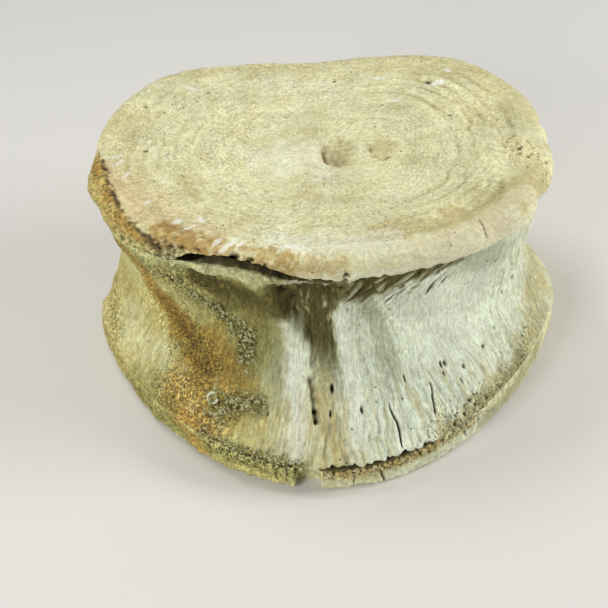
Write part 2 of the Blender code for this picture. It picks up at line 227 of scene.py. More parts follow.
# ---------------------------------------------------------------- finishes, sRGB
BONE_PALE = "#D9E1C9"
BONE_CREAM = "#D8D5A9"
PEACH = "#D0B98A"
BONE_TAN = "#B9AA74"
# dark olive brown for dirt, and for painted shade in pits, holes, the furrow and the seams' mouths
DIRT_AND_SHADE = "#57502B"
SHADE = "#88845A"
OCHRE = "#A08540"
RUST = "#BE9450"
BROWN = "#6B4E22"
LICHEN = "#9A9A70"
ALGAE = "#83834F"
CHALK = "#EBECDF"
PINK = "#DDD3B3"
ORANGE = "#A07E40"
SPONGE = "#DDD2A0"
# near black for painted shadow deep in cracks, holes, clefts, cavities and the seams' mouths
CRACK_SHADOW = "#1C170C"
GREY_ROT = "#B4B185"
STAINED = "#BFB37E"
OLIVE = "#4B441A"
LEDGE = "#C2BC8B"
GREY_GREEN = "#8E9577"
LIT = "#E6EAD8"
SHADOW_TAN = "#9A946A"
NEAR_RIM = "#E2E0C3"
OUTER_TAN = "#A47C38"
FLOOR = "#D8D6D0"
# how much of its red, green and blue a yellowed stretch loses
YELLOWING = np.array([0.03, 0.05, 0.21])


def srgb(code):
    """The three sRGB parts, 0 to 1, of a hex colour."""
    return np.array([int(code[k:k + 2], 16) / 255.0 for k in (1, 3, 5)])


def linear(parts):
    """sRGB parts turned to linear light."""
    parts = np.asarray(parts, float)
    return np.where(parts <= 0.04045, parts / 12.92, ((parts + 0.055) / 1.055) ** 2.4)


# ---------------------------------------------------------------- outline laws, as in the solids
def signed(bearing):
    """The bearing brought into -180..180 degrees."""
    return (np.asarray(bearing, float) + 180.0) % 360.0 - 180.0


def smooth_step(low, high, value):
    """0 up to low, 1 from high on and a smooth ramp between; it falls where low is above high."""
    share = np.clip((value - low) / (high - low), 0.0, 1.0)
    return share * share * (3.0 - 2.0 * share)


def span(value, start, end, soft):
    """1 between start and end, falling smoothly to 0 over the soft margin at each."""
    return smooth_step(start - soft, start + soft, value) * smooth_step(end + soft, end - soft, value)


def stations(values, bearing):
    """A smooth closed curve through one side's stations, the other side mirrored."""
    place = np.abs(signed(bearing)) / STATION_STEP
    index = np.minimum(place.astype(int), len(values) - 2)
    t = place - index
    padded = np.array((values[1],) + tuple(values) + (values[-2],))
    before, start, end, after = (padded[index + k] for k in range(4))
    curve = (2.0 * before - 5.0 * start + 4.0 * end - after) * t**2
    curve += (3.0 * start - before - 3.0 * end + after) * t**3
    return start + 0.5 * ((end - before) * t + curve)


def lump(bearing, centre, spread, height):
    """A rise, or a fall where the height is negative, around one bearing."""
    return height * np.exp(-(signed(bearing - centre) / spread) ** 2)


def top_radius(bearing):
    """Radius of the upper disc's rim."""
    return TOP_WIDTH / 2.0 * stations(TOP_OUTLINE, bearing) + lump(bearing, *TOP_WORN_LEFT)


def base_radius(bearing):
    """Radius of the lower disc's rim."""
    radius = BASE_WIDTH / 2.0 * stations(BASE_OUTLINE, bearing)
    return radius + lump(bearing, *BASE_LOBE_RIGHT) + lump(bearing, *BASE_WORN)


def low_seam(bearing):
    """Height of the lower growth seam, which climbs beside the keel."""
    away = np.abs(signed(bearing))
    climb = smooth_step(4.0, 30.0, away) - 0.6 * smooth_step(60.0, 120.0, away)
    return LOW_SEAM_FOOT + LOW_SEAM_RISE * climb


def wall_radius(bearing, height):
    """Radius of the centrum's waisted wall, without its keel relief."""
    waist_height = stations(WAIST_HEIGHT, bearing)
    waist = WAIST_WIDTH / 2.0 * stations(WAIST_OUTLINE, bearing)
    waist += lump(bearing, *WAIST_HOLLOW_LEFT) + lump(bearing, *WAIST_FULL_RIGHT)
    above = np.clip((height - waist_height) / (TOP_SEAM - waist_height), 0.0, 1.0)
    below = np.clip((waist_height - height) / (waist_height - low_seam(bearing)), 0.0, 1.0)
    top_edge = top_radius(bearing) - TOP_LEDGE + lump(bearing, *SHELF_LEFT)
    base_edge = base_radius(bearing) - BASE_LEDGE
    radius = waist + (top_edge - waist) * above**UPPER_FLARE
    return radius + (base_edge - waist) * below**LOWER_FLARE


def beyond(edge, bearing, height):
    """How far to the right of an edge of the keel's groove a place lies, in mm."""
    heights, bearings = np.array(edge).T
    return KEEL_MM_PER_DEGREE * signed(bearing - np.interp(height, heights, bearings))


def groove_share(bearing, height):
    """1 on the floor of the keel's groove, 0 outside its edges."""
    left = beyond(GROOVE_LEFT_EDGE, bearing, height)
    right = beyond(GROOVE_RIGHT_EDGE, bearing, height)
    return smooth_step(-1.5, 3.0, left) * smooth_step(0.8, -2.2, right)


def bump(x, y, centre, radius):
    """1 at a centre on the upper face, falling to 0 about one radius out."""
    return np.exp(-(((x - centre[0]) ** 2 + (y - centre[1]) ** 2) / radius**2) ** 1.5)


def trough_depth(bearing, share):
    """Depth of the trough that runs inside the near right rim."""
    along = span(signed(bearing), *TROUGH_BEARINGS, 12.0)
    return TROUGH_DEPTH * along * np.exp(-(((share - TROUGH_SHARE) / TROUGH_WIDTH) ** 2))


def face_height(x, y, share):
    """Height of the upper face, where share runs from 0 at the pit to 1 at the rim."""
    height = LENGTH - DISH_DEPTH * smooth_step(1.0, 0.35, share)
    height -= trough_depth(np.degrees(np.arctan2(x, -y)), share)
    height -= PIT_DEPTH * bump(x, y, PIT, PIT_RADIUS)
    height -= DIP_DEPTH * bump(x, y, DIP, DIP_RADIUS)
    return height + SWELLING_HEIGHT * bump(x, y, SWELLING, SWELLING_RADIUS)


def ring(bearing, radius, height):
    """One closed ring of points; the keel is at bearing 0, facing -Y."""
    angle = np.radians(bearing)
    height = np.broadcast_to(height, np.shape(bearing))
    return np.stack([radius * np.sin(angle), -radius * np.cos(angle), height], axis=1)


def flat_ring(bearing, height):
    """Points on the plain drum, for waves that run evenly round the bone."""
    return ring(bearing, FLAT_RADIUS, height)


def toward(rim, centre, share):
    """A ring drawn in from a rim towards a centre point."""
    return centre + (rim - centre) * share


def on_axis(height):
    """The point of the outline's axis at a height."""
    return np.array([0.0, 0.0, height])


def outline_centre():
    """Where the outline's axis stands in the row frame, from the lower disc's box."""
    turn = np.linspace(0.0, 360.0, FRAME_BEARINGS, endpoint=False)
    bearing = turn - FRAME_CROWDING * np.degrees(np.sin(np.radians(turn)))
    edge = ring(bearing, base_radius(bearing), 0.0)
    low, high = (np.array(corner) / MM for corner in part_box("epiphysis_bottom"))
    x = (low[0] + high[0] - edge[:, 0].min() - edge[:, 0].max()) / 2.0
    return np.array([x, high[1] - edge[:, 1].max(), 0.0])


CENTRE = outline_centre()

# ---------------------------------------------------------------- random fields
HASH_STEPS = (73856093, 19349663, 83492791)
HASH_MASK = 0xFFFFFFFF
SLOPES = np.array([
    (1, 1, 0), (-1, 1, 0), (1, -1, 0), (-1, -1, 0), (1, 0, 1), (-1, 0, 1), (1, 0, -1), (-1, 0, -1),
    (0, 1, 1), (0, -1, 1), (0, 1, -1), (0, -1, -1), (1, 1, 0), (-1, 1, 0), (0, -1, 1), (0, -1, -1),
])


def cell_chance(cell, seed):
    """A repeatable random number from 0 to 1 for each whole-number cell."""
    mixed = np.full(cell.shape[:-1], (seed * 374761393 + 668265263) & HASH_MASK, np.int64)
    for axis, step in enumerate(HASH_STEPS):
        mixed ^= (cell[..., axis] * step) & HASH_MASK
    mixed = ((mixed ^ (mixed >> 13)) * 1274126177) & HASH_MASK
    mixed = ((mixed ^ (mixed >> 15)) * 1103515245) & HASH_MASK
    return (mixed ^ (mixed >> 16)) / HASH_MASK


def noise(points, size, seed, octaves=1):
    """Smooth random waves, about -1 to 1, whose humps are about one size apart."""
    total = np.zeros(len(points))
    weight = whole = 0.0
    for octave in range(octaves):
        weight = 0.5**octave
        whole += weight
        place = points / (size * weight) + 31.7 * octave
        cell = np.floor(place).astype(np.int64)
        part = place - cell
        ease = part**3 * (part * (part * 6.0 - 15.0) + 10.0)
        for corner in np.ndindex(2, 2, 2):
            corner = np.array(corner)
            share = np.prod(np.where(corner, ease, 1.0 - ease), axis=1)
            slope = SLOPES[(cell_chance(cell + corner, seed + octave) * 15.99).astype(int)]
            total += weight * share * np.sum(slope * (part - corner), axis=1)
    return 1.6 * total / whole


def cells(points, size, seed):
    """Distance to the nearest of points strewn one size apart, in sizes, and that point's chance."""
    place = points / size
    home = np.floor(place).astype(np.int64)
    nearest = np.full(len(points), 9.0)
    chance = np.zeros(len(points))
    for step in np.ndindex(3, 3, 3):
        cell = home + np.array(step) - 1
        seat = np.stack([cell_chance(cell, seed + k) for k in range(3)], axis=1)
        apart = np.sqrt(np.sum((cell + seat - place) ** 2, axis=1))
        closer = apart < nearest
        nearest = np.where(closer, apart, nearest)
        chance = np.where(closer, cell_chance(cell, seed + 3), chance)
    return nearest, chance


def patchy(points, low, high, *waves):
    """0 where waves are under low and 1 where they are over high: patches with soft edges."""
    return smooth_step(low, high, noise(points, *waves))


def jitter(bearing, size, seed, octaves=2):
    """Random waves along a ring, with humps about one size in millimetres apart."""
    return noise(flat_ring(bearing, 0.0), size, seed, octaves)


# ---------------------------------------------------------------- skins
def strip(lower, upper):
    """Faces between two rings of point numbers, of like size or one with half the points."""
    after, above = np.roll(lower, -1), np.roll(upper, -1)
    if len(lower) == len(upper):
        return [np.stack([lower, after, above, upper], axis=1)]
    if len(lower) == 2 * len(upper):
        even, odd, last = lower[::2], lower[1::2], after[1::2]
        fans = ((even, odd, upper), (odd, above, upper), (odd, last, above))
    else:
        even, odd, last = upper[::2], upper[1::2], above[1::2]
        fans = ((lower, after, odd), (lower, odd, even), (after, last, odd))
    return [np.stack(fan, axis=1) for fan in fans]


def out_from_axis(points):
    """How far from the axis each point lies."""
    return np.hypot(*points[:, :2].T)


def smoothed(mesh):
    """Shades every face of a mesh as part of one smooth surface."""
    mesh.polygons.foreach_set("use_smooth", np.ones(len(mesh.polygons), bool))


class Skin:
    """A closed skin of bone: its points, how far each is raised, and its colour.

    Loops are closed rings of points from the first point, inside or below, out and up and
    back in to the last. Work on it adds to rise, tint, porous, crust and grit.
    """

    def __init__(self, name, loops, first, last, colour):
        self.name = name
        self.loops = loops
        self.points = np.concatenate(loops + [[first], [last]])
        self.mesh = self.make_mesh()
        count = len(self.points)
        normals = np.zeros(count * 3)
        self.mesh.vertex_normals.foreach_get("vector", normals)
        self.normals = normals.reshape(count, 3)
        self.x, self.y, self.height = self.points.T
        self.bearing = np.degrees(np.arctan2(self.x, -self.y))
        self.radius = np.hypot(self.x, self.y)
        self.rise = np.zeros(count)
        self.tint = np.tile(srgb(colour), (count, 1))
        self.porous = np.zeros(count)
        self.crust = np.zeros(count)
        self.grit = np.zeros(count)
        self.lie = self.points.copy()
        edges = np.zeros(len(self.mesh.edges) * 2, np.int64)
        self.mesh.edges.foreach_get("vertices", edges)
        self.edges = edges.reshape(-1, 2)

    def make_mesh(self):
        """The faces between the loops, with a fan at each end."""
        counts = [len(loop) for loop in self.loops]
        starts = np.concatenate([[0], np.cumsum(counts)])
        numbers = [start + np.arange(count) for start, count in zip(starts, counts)]
        first, last = starts[-1], starts[-1] + 1
        start = numbers[0]
        faces = [np.stack([np.full(counts[0], first), np.roll(start, -1), start], axis=1)]
        for lower, upper in zip(numbers, numbers[1:]):
            faces += strip(lower, upper)
        end = numbers[-1]
        faces.append(np.stack([np.full(counts[-1], last), end, np.roll(end, -1)], axis=1))
        mesh = bpy.data.meshes.new(self.name)
        corners = [face for group in faces for face in group.tolist()]
        mesh.from_pydata(self.points.tolist(), [], corners)
        smoothed(mesh)
        self.unwrap(mesh, counts)
        return mesh

    def unwrap(self, mesh, counts):
        """A flat map: once round the bone across it, and the way from ring to ring up it."""
        around = np.concatenate([np.arange(count) / count for count in counts] + [[0.0, 0.0]])
        middles = [loop.mean(axis=0) for loop in self.loops]
        reach = [out_from_axis(loop - middle).mean() for loop, middle in zip(self.loops, middles)]
        path = np.stack([reach, [middle[2] for middle in middles]], axis=1)
        steps = np.hypot(*np.diff(path, axis=0).T)
        gone = np.cumsum(np.concatenate([[reach[0]], steps, [reach[-1]]]))
        up = np.append(np.repeat(gone[:-1], counts), [0.0, gone[-1]])
        corners = np.zeros(len(mesh.loops), np.int64)
        mesh.loops.foreach_get("vertex_index", corners)
        starts = np.zeros(len(mesh.polygons), np.int64)
        sizes = np.zeros(len(mesh.polygons), np.int64)
        mesh.polygons.foreach_get("loop_start", starts)
        mesh.polygons.foreach_get("loop_total", sizes)
        owner = np.repeat(np.arange(len(sizes)), sizes)
        across = around[corners]
        pole = corners >= sum(counts)
        most = np.maximum.reduceat(np.where(pole, 0.0, across), starts)[owner]
        across = np.where(~pole & (across < 0.25) & (most > 0.75), across + 1.0, across)
        across = np.where(pole, most, across)
        chart = mesh.uv_layers.new(name="OFBake")
        flat = np.stack([across, up[corners] / gone[-1]], axis=1)
        chart.data.foreach_set("uv", (0.002 + 0.996 * flat).ravel())

    def spread_out(self, values, rounds):
        """Values averaged over neighbouring points, again and again."""
        one, other = self.edges.T
        count = len(values)
        degree = 1.0 + np.bincount(one, minlength=count) + np.bincount(other, minlength=count)
        for _ in range(rounds):
            total = np.bincount(one, values[other], count) + np.bincount(other, values[one], count)
            values = (values + total) / degree
        return values

    def paint(self, colour, mask):
        """Lays a colour over the tint where the mask is above 0."""
        mask = np.clip(mask, 0.0, 1.0)[:, None]
        self.tint = self.tint * (1.0 - mask) + srgb(colour) * mask

    def shade(self, factor):
        """Darkens the tint where the factor is below 1, and lightens it above."""
        self.tint = self.tint * np.asarray(factor)[:, None]

    def yellow(self, mask):
        """Yellows the tint where the mask is above 0, as old fat and soil do."""
        self.tint = self.tint * (1.0 - np.asarray(mask)[:, None] * YELLOWING)

    def shade_relief(self, dark, bright):
        """Painted shade and grime in the hollows of the relief, and painted highlight on its crests."""
        relief = self.rise - self.spread_out(self.rise, 6)
        self.shade(1.0 - dark * np.clip(-relief, 0.0, 1.2) + bright * np.clip(relief, 0.0, 0.8))

    def finish(self, material, slot, *nodes):
        """Writes the raised points and their attributes, and makes the piece."""
        points = self.points + self.normals * self.rise[:, None] + CENTRE
        self.mesh.vertices.foreach_set("co", (points * MM).ravel())
        self.mesh.update()
        tint = np.ones((len(points), 4))
        tint[:, :3] = linear(np.clip(self.tint, 0.0, 1.0))
        self.store("tint", "FLOAT_COLOR", "color", tint)
        self.store("lie", "FLOAT_VECTOR", "vector", self.lie)
        for name in ("porous", "crust", "grit"):
            self.store(name, "FLOAT", "value", getattr(self, name))
        return add_piece(self.name, self.mesh, material, slot, *nodes)

    def store(self, name, kind, field, values):
        """Keeps one value for each point as an attribute of the mesh."""
        layer = self.mesh.attributes.new(name, kind, "POINT")
        layer.data.foreach_set(field, np.ascontiguousarray(values, np.float32).ravel())


def put(name, data):
    """A new object in the scene."""
    made = bpy.data.objects.new(name, data)
    bpy.context.scene.collection.objects.link(made)
    return made


def add_piece(name, mesh, material, slot, *nodes):
    """Makes the object for a mesh, on the one body, and hides the nodes it stands for. The slot is not
    used.
    """
    mesh.materials.clear()
    mesh.materials.append(material)
    piece = put(name, mesh)
    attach(piece, "root")
    if nodes:
        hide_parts(*nodes)
    return piece


def columns():
    """Bearings of the columns of points, crowded towards the keel."""
    turn = np.linspace(0.0, 360.0, COLUMNS, endpoint=False)
    return turn - KEEL_CROWDING * np.degrees(np.sin(np.radians(turn)))


BEARINGS = columns()


def pits(skin, hollows):
    """How deep, 0 to 1, each point lies in upright oval hollows: middle, half width, half length."""
    deep = np.zeros(len(skin.points))
    for anchor, half_width, half_length in hollows:
        away = skin.points - anchor
        angle = np.arctan2(anchor[0], -anchor[1])
        side = away @ np.array([np.cos(angle), np.sin(angle), 0.0])
        rest = np.sqrt(np.maximum(np.sum(away**2, axis=1) - side**2, 0.0))
        oval = (side / half_width) ** 2 + (rest / half_length) ** 2
        deep = np.maximum(deep, np.exp(-np.minimum(oval, 60.0) ** 1.5))
    return deep


def edge_point(radius, bearing, height, inward=0.0):
    """The point of a disc's edge at one bearing and height, by its law of the radius."""
    bearing = np.array([float(bearing)])
    return ring(bearing, radius(bearing) - inward, height)[0]


def path_distance(points, path):
    """Distance in the points' own units from a path of straight runs."""
    nearest = np.full(len(points), 1e9)
    for start, end in zip(path[:-1], path[1:]):
        run = end - start
        share = np.clip((points - start) @ run / (run @ run), 0.0, 1.0)[:, None]
        nearest = np.minimum(nearest, np.linalg.norm(points - start - share * run, axis=1))
    return nearest


# ---------------------------------------------------------------- the wall
def low_lips(bearing):
    """Heights of the lower seam's two ragged lips at the surface: the disc's and the wall's."""
    middle = low_seam(bearing) + 0.7 * jitter(bearing, 7.0, 11)
    open_crack = span(signed(bearing), *LOW_CRACK_SPAN, 3.0)
    porous = span(signed(bearing), *LOW_PORES_SPAN, 3.0)
    uneven = 0.7 + 0.9 * jitter(bearing, 4.0, 12)
    width = CLOSED_GAP + (LOW_CRACK_WIDTH * open_crack + 0.7 * porous) * uneven
    width = np.maximum(width, CLOSED_GAP)
    ragged = 0.9 * open_crack + 0.5 * porous
    upper = middle + 0.5 * width + ragged * np.maximum(jitter(bearing, 1.7, 13), 0.0)
    lower = middle - 0.5 * width - ragged * np.maximum(jitter(bearing, 1.7, 14), 0.0)
    return lower, upper


def gape(bearing):
    """1 where the upper seam gapes above the ledge, falling smoothly to 0 on both sides."""
    return span(signed(bearing), *GAPE_SPAN, 4.0)


def filled_seam(bearing):
    """1 where rough bone bridges the upper seam, left of the place where it gapes."""
    return span(signed(bearing), *FILLED_SPAN, 3.0)


def by_bearing(bearing, path):
    """A height read from a path of bearings and heights."""
    bearings, heights = np.array(path).T
    return np.interp(signed(bearing), bearings, heights)


def high_lips(bearing):
    """Heights of the upper seam's two lips: the wall's ragged edge and the disc's."""
    gaping = gape(bearing)
    crack = span(signed(bearing), *HIGH_CRACK_SPAN, 4.0)
    middle = TOP_SEAM + 0.5 * jitter(bearing, 9.0, 21) * (0.3 + crack)
    wall = middle - 0.5 * CLOSED_GAP - crack * np.maximum(0.7 + 1.5 * jitter(bearing, 4.0, 23), 0.0)
    disc = middle + 0.5 * CLOSED_GAP + crack * np.maximum(0.5 + 1.2 * jitter(bearing, 5.0, 25), 0.0)
    ledge = by_bearing(bearing, LEDGE_HEIGHTS) + gaping * 0.7 * jitter(bearing, 9.0, 22)
    raised = smooth_step(TOP_SEAM, TOP_SEAM + 0.8, ledge)
    wall = np.minimum(wall, ledge) * (1.0 - raised) + ledge * raised
    torn = 1.5 * jitter(bearing, 10.0, 24) + 0.8 * jitter(bearing, 3.4, 27)
    torn += 0.7 * jitter(bearing, 1.8, 15)
    lip = by_bearing(bearing, LIP_HEIGHTS) + gaping * torn
    lip = np.maximum(np.maximum(disc, lip), wall + CLOSED_GAP)
    return wall, np.minimum(lip, LENGTH - 2.2)


def ledge_share(below):
    """How far out the rounded ledge stands, 0 to 1, this many millimetres below its top."""
    part = below / LEDGE_THICK
    return (0.35 + 0.65 * np.sin(np.pi * np.clip(part * 1.2, 0.0, 1.0))) * smooth_step(1.35, 0.6, part)


def high_mouth(gaping_rows):
    """Rings of the upper seam's mouth at every column, shut or gaping as its bearing asks."""
    gaping = gape(BEARINGS)
    return [tuple(shut * (1.0 - gaping) + wide * gaping for shut, wide in zip(*rows))
            for rows in zip(HIGH_MOUTH, gaping_rows)]


def mouth_rings(radius, lip, closed, rows):
    """Rings of points from a seam's lip at the surface, in and over to the closed seam."""
    return [ring(BEARINGS, radius - deep, lip + (closed - lip) * way) for deep, way, _ in rows]


def mouth_shade(rows):
    """How dark each point of a seam's mouth is, ring by ring."""
    return np.concatenate([np.broadcast_to(dark, COLUMNS) for _, _, dark in rows])


def in_sight(inside, hollow):
    """1 at the surface and in the gaping hollow, and 0 where a seam's mouth is shut."""
    return np.maximum(smooth_step(0.5, 0.0, inside), hollow * smooth_step(0.95, 0.75, inside))


def wall_point(bearing, height):
    """The point of the plain wall at one bearing and height."""
    bearing = np.array([float(bearing)])
    return ring(bearing, wall_radius(bearing, height), height)[0]


def wall_path(path):
    """Points of the plain wall along a path of bearings and heights."""
    return np.array([wall_point(*point) for point in path])


def unrolled(bearing, height):
    """The wall laid flat, in millimetres."""
    height = np.broadcast_to(height, np.shape(bearing))
    return np.stack([FLAT_RADIUS * np.radians(bearing), height], axis=-1)


def keel_relief(bearing, height):
    """Rise of the two ridges beside the keel's groove, and fall of the groove itself."""
    left = beyond(GROOVE_LEFT_EDGE, bearing, height)
    right = beyond(GROOVE_RIGHT_EDGE, bearing, height)
    left_flank = np.exp(-(np.minimum(left + 6.0, 0.0) / 8.0) ** 2)
    right_flank = np.exp(-(np.maximum(right - 4.0, 0.0) / 7.5) ** 2)
    rise = RIDGE_LEFT_RISE * smooth_step(2.0, -3.5, left) * left_flank
    rise += RIDGE_RIGHT_RISE * smooth_step(-1.8, 1.8, right) * right_flank
    rise -= GROOVE_DEPTH * groove_share(bearing, height) * smooth_step(34.0, 60.0, height)
    return rise * smooth_step(14.0, 34.0, height) * smooth_step(106.0, 92.0, height)


def wall_swell(bearing, height):
    """Rise and fall of the wall's broad swellings and hollows."""
    rise = sum(lump(bearing, middle, spread, swell) * smooth_step(low, high, height)
               for middle, spread, swell, low, high in WAIST_FILLS)
    return rise + sum(lump(bearing, middle, across, swell) * np.exp(-((height - level) / up) ** 2)
                      for middle, level, across, up, swell in WALL_HOLLOWS)


def wall_loops():
    """Rings of the wall from the lower seam's floor up to the upper seam's roof."""
    _, foot = low_lips(BEARINGS)
    head, _ = high_lips(BEARINGS)
    way = np.linspace(0.0, 1.0, WALL_RINGS)
    way = way - SEAM_CROWDING * np.sin(2.0 * np.pi * way) / (2.0 * np.pi)
    flange = LEDGE_RISE * gape(BEARINGS) * (1.0 + 0.5 * jitter(BEARINGS, 7.0, 20))
    loops = []
    for share in way:
        height = foot + (head - foot) * share
        wavy = BEARINGS + 0.9 * noise(flat_ring(BEARINGS, height), 11.0, 19, 2)
        radius = wall_radius(BEARINGS, height) + keel_relief(wavy, height)
        radius = radius + wall_swell(BEARINGS, height)
        loops.append(ring(BEARINGS, radius + flange * ledge_share(head - height), height))
    seam_floor = low_seam(BEARINGS) + 0.5 * CLOSED_GAP
    seam_roof = TOP_SEAM - 0.5 * CLOSED_GAP
    below = mouth_rings(out_from_axis(loops[0]), foot, seam_floor, SEAM_MOUTH)
    above = mouth_rings(out_from_axis(loops[-1]), head, seam_roof, high_mouth(LEDGE_MOUTH))
    return below[::-1] + loops + above


# the smooth lobe on the left, and the chalky lip under the middle of the upper disc
SMOOTH_LOBE = ((-74, 36), (-66, 33), (-58, 35))
CHALKY_LIP = ((-14, 103), (-8, 102), (-1.4, 100))
# stains and growths on the wall, with painted shade and painted light: colour, strength, half width,
# raggedness, then the middle of the patch as bearings and heights
WALL_PATCHES = (
    (STAINED, 0.72, 30.0, 8.0, ((-100, 40), (-76, 36), (-55, 34), (-44, 40))),  # stained lobe
    (BONE_PALE, 0.36, 10.0, 6.0, SMOOTH_LOBE),  # pale lobe
    (LIT, 0.26, 17.0, 8.0, ((26, 90), (35, 72), (41, 52))),  # lit right
    (BONE_CREAM, 0.60, 12.0, 6.0, ((-26, 26), (-12, 24), (0, 22))),  # cream foot
    (BONE_TAN, 0.55, 5.0, 4.0, ((-1, 18), (-2, 30), (-3, 42))),  # tan fibres
    (BONE_TAN, 0.50, 10.0, 8.0,  # tan right margin
     ((62, 18), (69, 24), (76, 31), (84, 32), (94, 30))),
    (SHADE, 0.30, 12.0, 8.0,  # right margin shade
     ((62, 18), (69, 24), (76, 34), (84, 40), (94, 40))),
    (STAINED, 0.45, 11.0, 6.0, ((-36, 34), (-26, 28), (-14, 24), (-2, 24))),  # yellow foot
    (STAINED, 0.60, 3.5, 3.0, ((26, 19), (40, 20), (56, 20), (68, 24))),  # right foot
    (SHADE, 0.80, 5.0, 3.5, ((28, 17), (44, 18.5), (58, 20))),  # right foot shade
    (GREY_GREEN, 0.42, 9.0, 4.0, ((46, 98), (54, 92), (62, 86))),  # upper right shade
    (BONE_TAN, 0.40, 70.0, 20.0, ((120, 60), (180, 55), (240, 60))),  # far side
    (SHADE, 0.85, 18.0, 5.0, ((-50, 84), (-40, 84), (-30, 80), (-24, 68))),  # olive stain and painted shade in the hollow
    (SHADE, 0.50, 12.0, 6.0, ((-44, 66), (-34, 60), (-28, 50))),  # olive ground
    (GREY_ROT, 0.85, 10.0, 4.0, ((-76, 94), (-64, 88), (-56, 82), (-48, 88))),  # grey rot
    (OCHRE, 0.90, 6.8, 4.5,  # ochre band
     ((-76, 86), (-69, 78), (-66.5, 67), (-59, 57), (-52.4, 50), (-46.7, 43), (-40, 37))),
    (OCHRE, 0.80, 9.0, 4.0, ((-42, 52), (-36, 46), (-31, 40), (-29, 35))),  # ochre ground
    (BROWN, 0.38, 3.6, 3.0, ((-63, 63), (-57, 56), (-50, 49), (-45, 42), (-40, 37))),  # brown core
    (RUST, 0.70, 9.0, 5.0, ((-46, 25), (-38, 24), (-34, 27))),  # rust patch
    (RUST, 0.50, 4.0, 3.0, ((-44, 21), (-36, 18), (-30, 18))),  # rust rim
    (LICHEN, 0.55, 7.0, 5.0, ((-50, 78), (-41, 72), (-36, 62), (-30, 56), (-28, 49))),  # lichen bloom
    (LICHEN, 0.50, 5.0, 4.0, ((-33, 30), (-26, 32), (-21.5, 33))),  # lichen low
    (ALGAE, 0.45, 5.0, 4.0, ((-60, 20), (-52, 18), (-45, 18))),  # algae low
    (ALGAE, 0.75, 1.6, 1.6, ((-34, 17.5), (-18, 16.5), (-9, 15.5))),  # algae seam
    (GREY_GREEN, 0.50, 5.0, 3.0, ((12, 90), (15, 76), (17.5, 60), (19, 46))),  # painted shade in the grey hollow
    (GREY_GREEN, 0.35, 4.0, 3.0, ((-22, 70), (-19, 52), (-17.5, 36))),  # painted shade on the left ridge's left flank
    (OLIVE, 0.92, 9.0, 5.0, ((-44, 94), (-31, 88), (-18, 84))),  # painted shade and dirt under the ledge
    (OLIVE, 0.50, 8.0, 6.0, ((-36, 78), (-27, 73))),  # painted shade and dirt under the ledge, lower
    (OLIVE, 0.85, 7.5, 4.0, ((-18, 94), (-4, 95), (8, 98), (18, 101))),  # painted shade and dirt under the rim, middle
    (OLIVE, 0.82, 6.0, 4.0, ((8, 95), (16, 96), (26, 101), (38, 104))),  # painted shade and dirt under the rim, right
)
# painted highlights along the crests of the ridges beside the keel's groove
RIDGE_CRESTS = (
    (LIT, 0.60, 3.8, 2.5, ((-15.5, 72), (-13.2, 56), (-11.4, 42), (-10.4, 30), (-9.6, 22))),  # left crest
    (LIT, 0.60, 3.8, 2.5, ((4.6, 76), (5.0, 60), (5.6, 42), (6.2, 24))),  # right crest
)
# rough, speckled, crusted and porous stretches: half width, then the middle of the stretch
ROUGH_PATHS = (
    (10.0, ((-76, 88), (-69, 78), (-66.5, 67), (-59, 57), (-52.4, 50), (-46.7, 43), (-40, 37))),
    (11.0, ((-47, 25), (-38, 23), (-32, 26))),
    (13.0, ((-80, 100), (-64, 90), (-52, 86), (-44, 94))),
    (6.0, ((-90, 34), (-84, 27), (-76, 24))),
    (2.4, ((-34, 17.5), (-20, 16.5), (-10, 15.5))),
)
SPECKLED_PATHS = (
    (24.0, ((-100, 44), (-76, 32), (-56, 30), (-40, 40), (-34, 60), (-46, 78))),
    (3.0, ((56, 19), (62, 22), (70, 28))),
)
CRUST_PATHS = (
    (3.4, ((-48, 78.5), (-43.8, 73.5), (-40.5, 72), (-38.6, 64.5), (-35.9, 60.7))),
    (5.0, ((-34, 61.5), (-30, 58.5), (-28.2, 58.0), (-29.8, 53.0), (-28.4, 50.5))),
    (3.4, ((-33.5, 28.5), (-28.5, 31.5), (-25.0, 33.0), (-21.0, 33.5))),
    (1.5, ((-34, 20), (-23, 18.5), (-15, 17.5), (-8, 16.5))),
)
POROUS_PATHS = (
    (5.5, ((23, 19.0), (31, 20.5), (40, 20.5), (49, 20))),
    (3.0, ((54, 20), (60, 22), (66, 26))),
    (2.0, ((-30, 18), (-20, 17), (-10, 16))),
    (8.0, ((-72, 92), (-60, 86), (-52, 86))),
)
# bearings between which the wall is fluted, and has struts under the upper disc
FLUTED = (-52.0, 64.0)
BUTTRESSES = (4.0, 40.0)


def flat_mask(skin, half_width, ragged, path, seed):
    """1 along a path on the unrolled wall, fading out over a ragged margin."""
    flat = unrolled(skin.bearing, skin.height)
    line = unrolled(*np.array(path, float).T)
    if path[0][0] > 90.0:
        once_round = 2.0 * FLAT_RADIUS * np.pi
        flat[:, 0] = np.where(flat[:, 0] < 0.0, flat[:, 0] + once_round, flat[:, 0])
    away = path_distance(flat, line)
    away += ragged * (noise(skin.points, 11.0, seed, 3) + 0.45 * noise(skin.points, 2.6, seed + 5, 2))
    return smooth_step(1.6 * half_width, 0.35 * half_width, away)


def widest(skin, paths, ragged, seed):
    """The strongest of the masks along several paths."""
    return np.maximum.reduce([flat_mask(skin, width, ragged, path, seed + number)
                              for number, (width, path) in enumerate(paths)])


def stain(skin, patches, seed):
    """Lays a table of stains over a skin, in the order of the table."""
    for number, (colour, strength, width, ragged, path) in enumerate(patches):
        skin.paint(colour, strength * flat_mask(skin, width, ragged, path, seed + 7 * number))


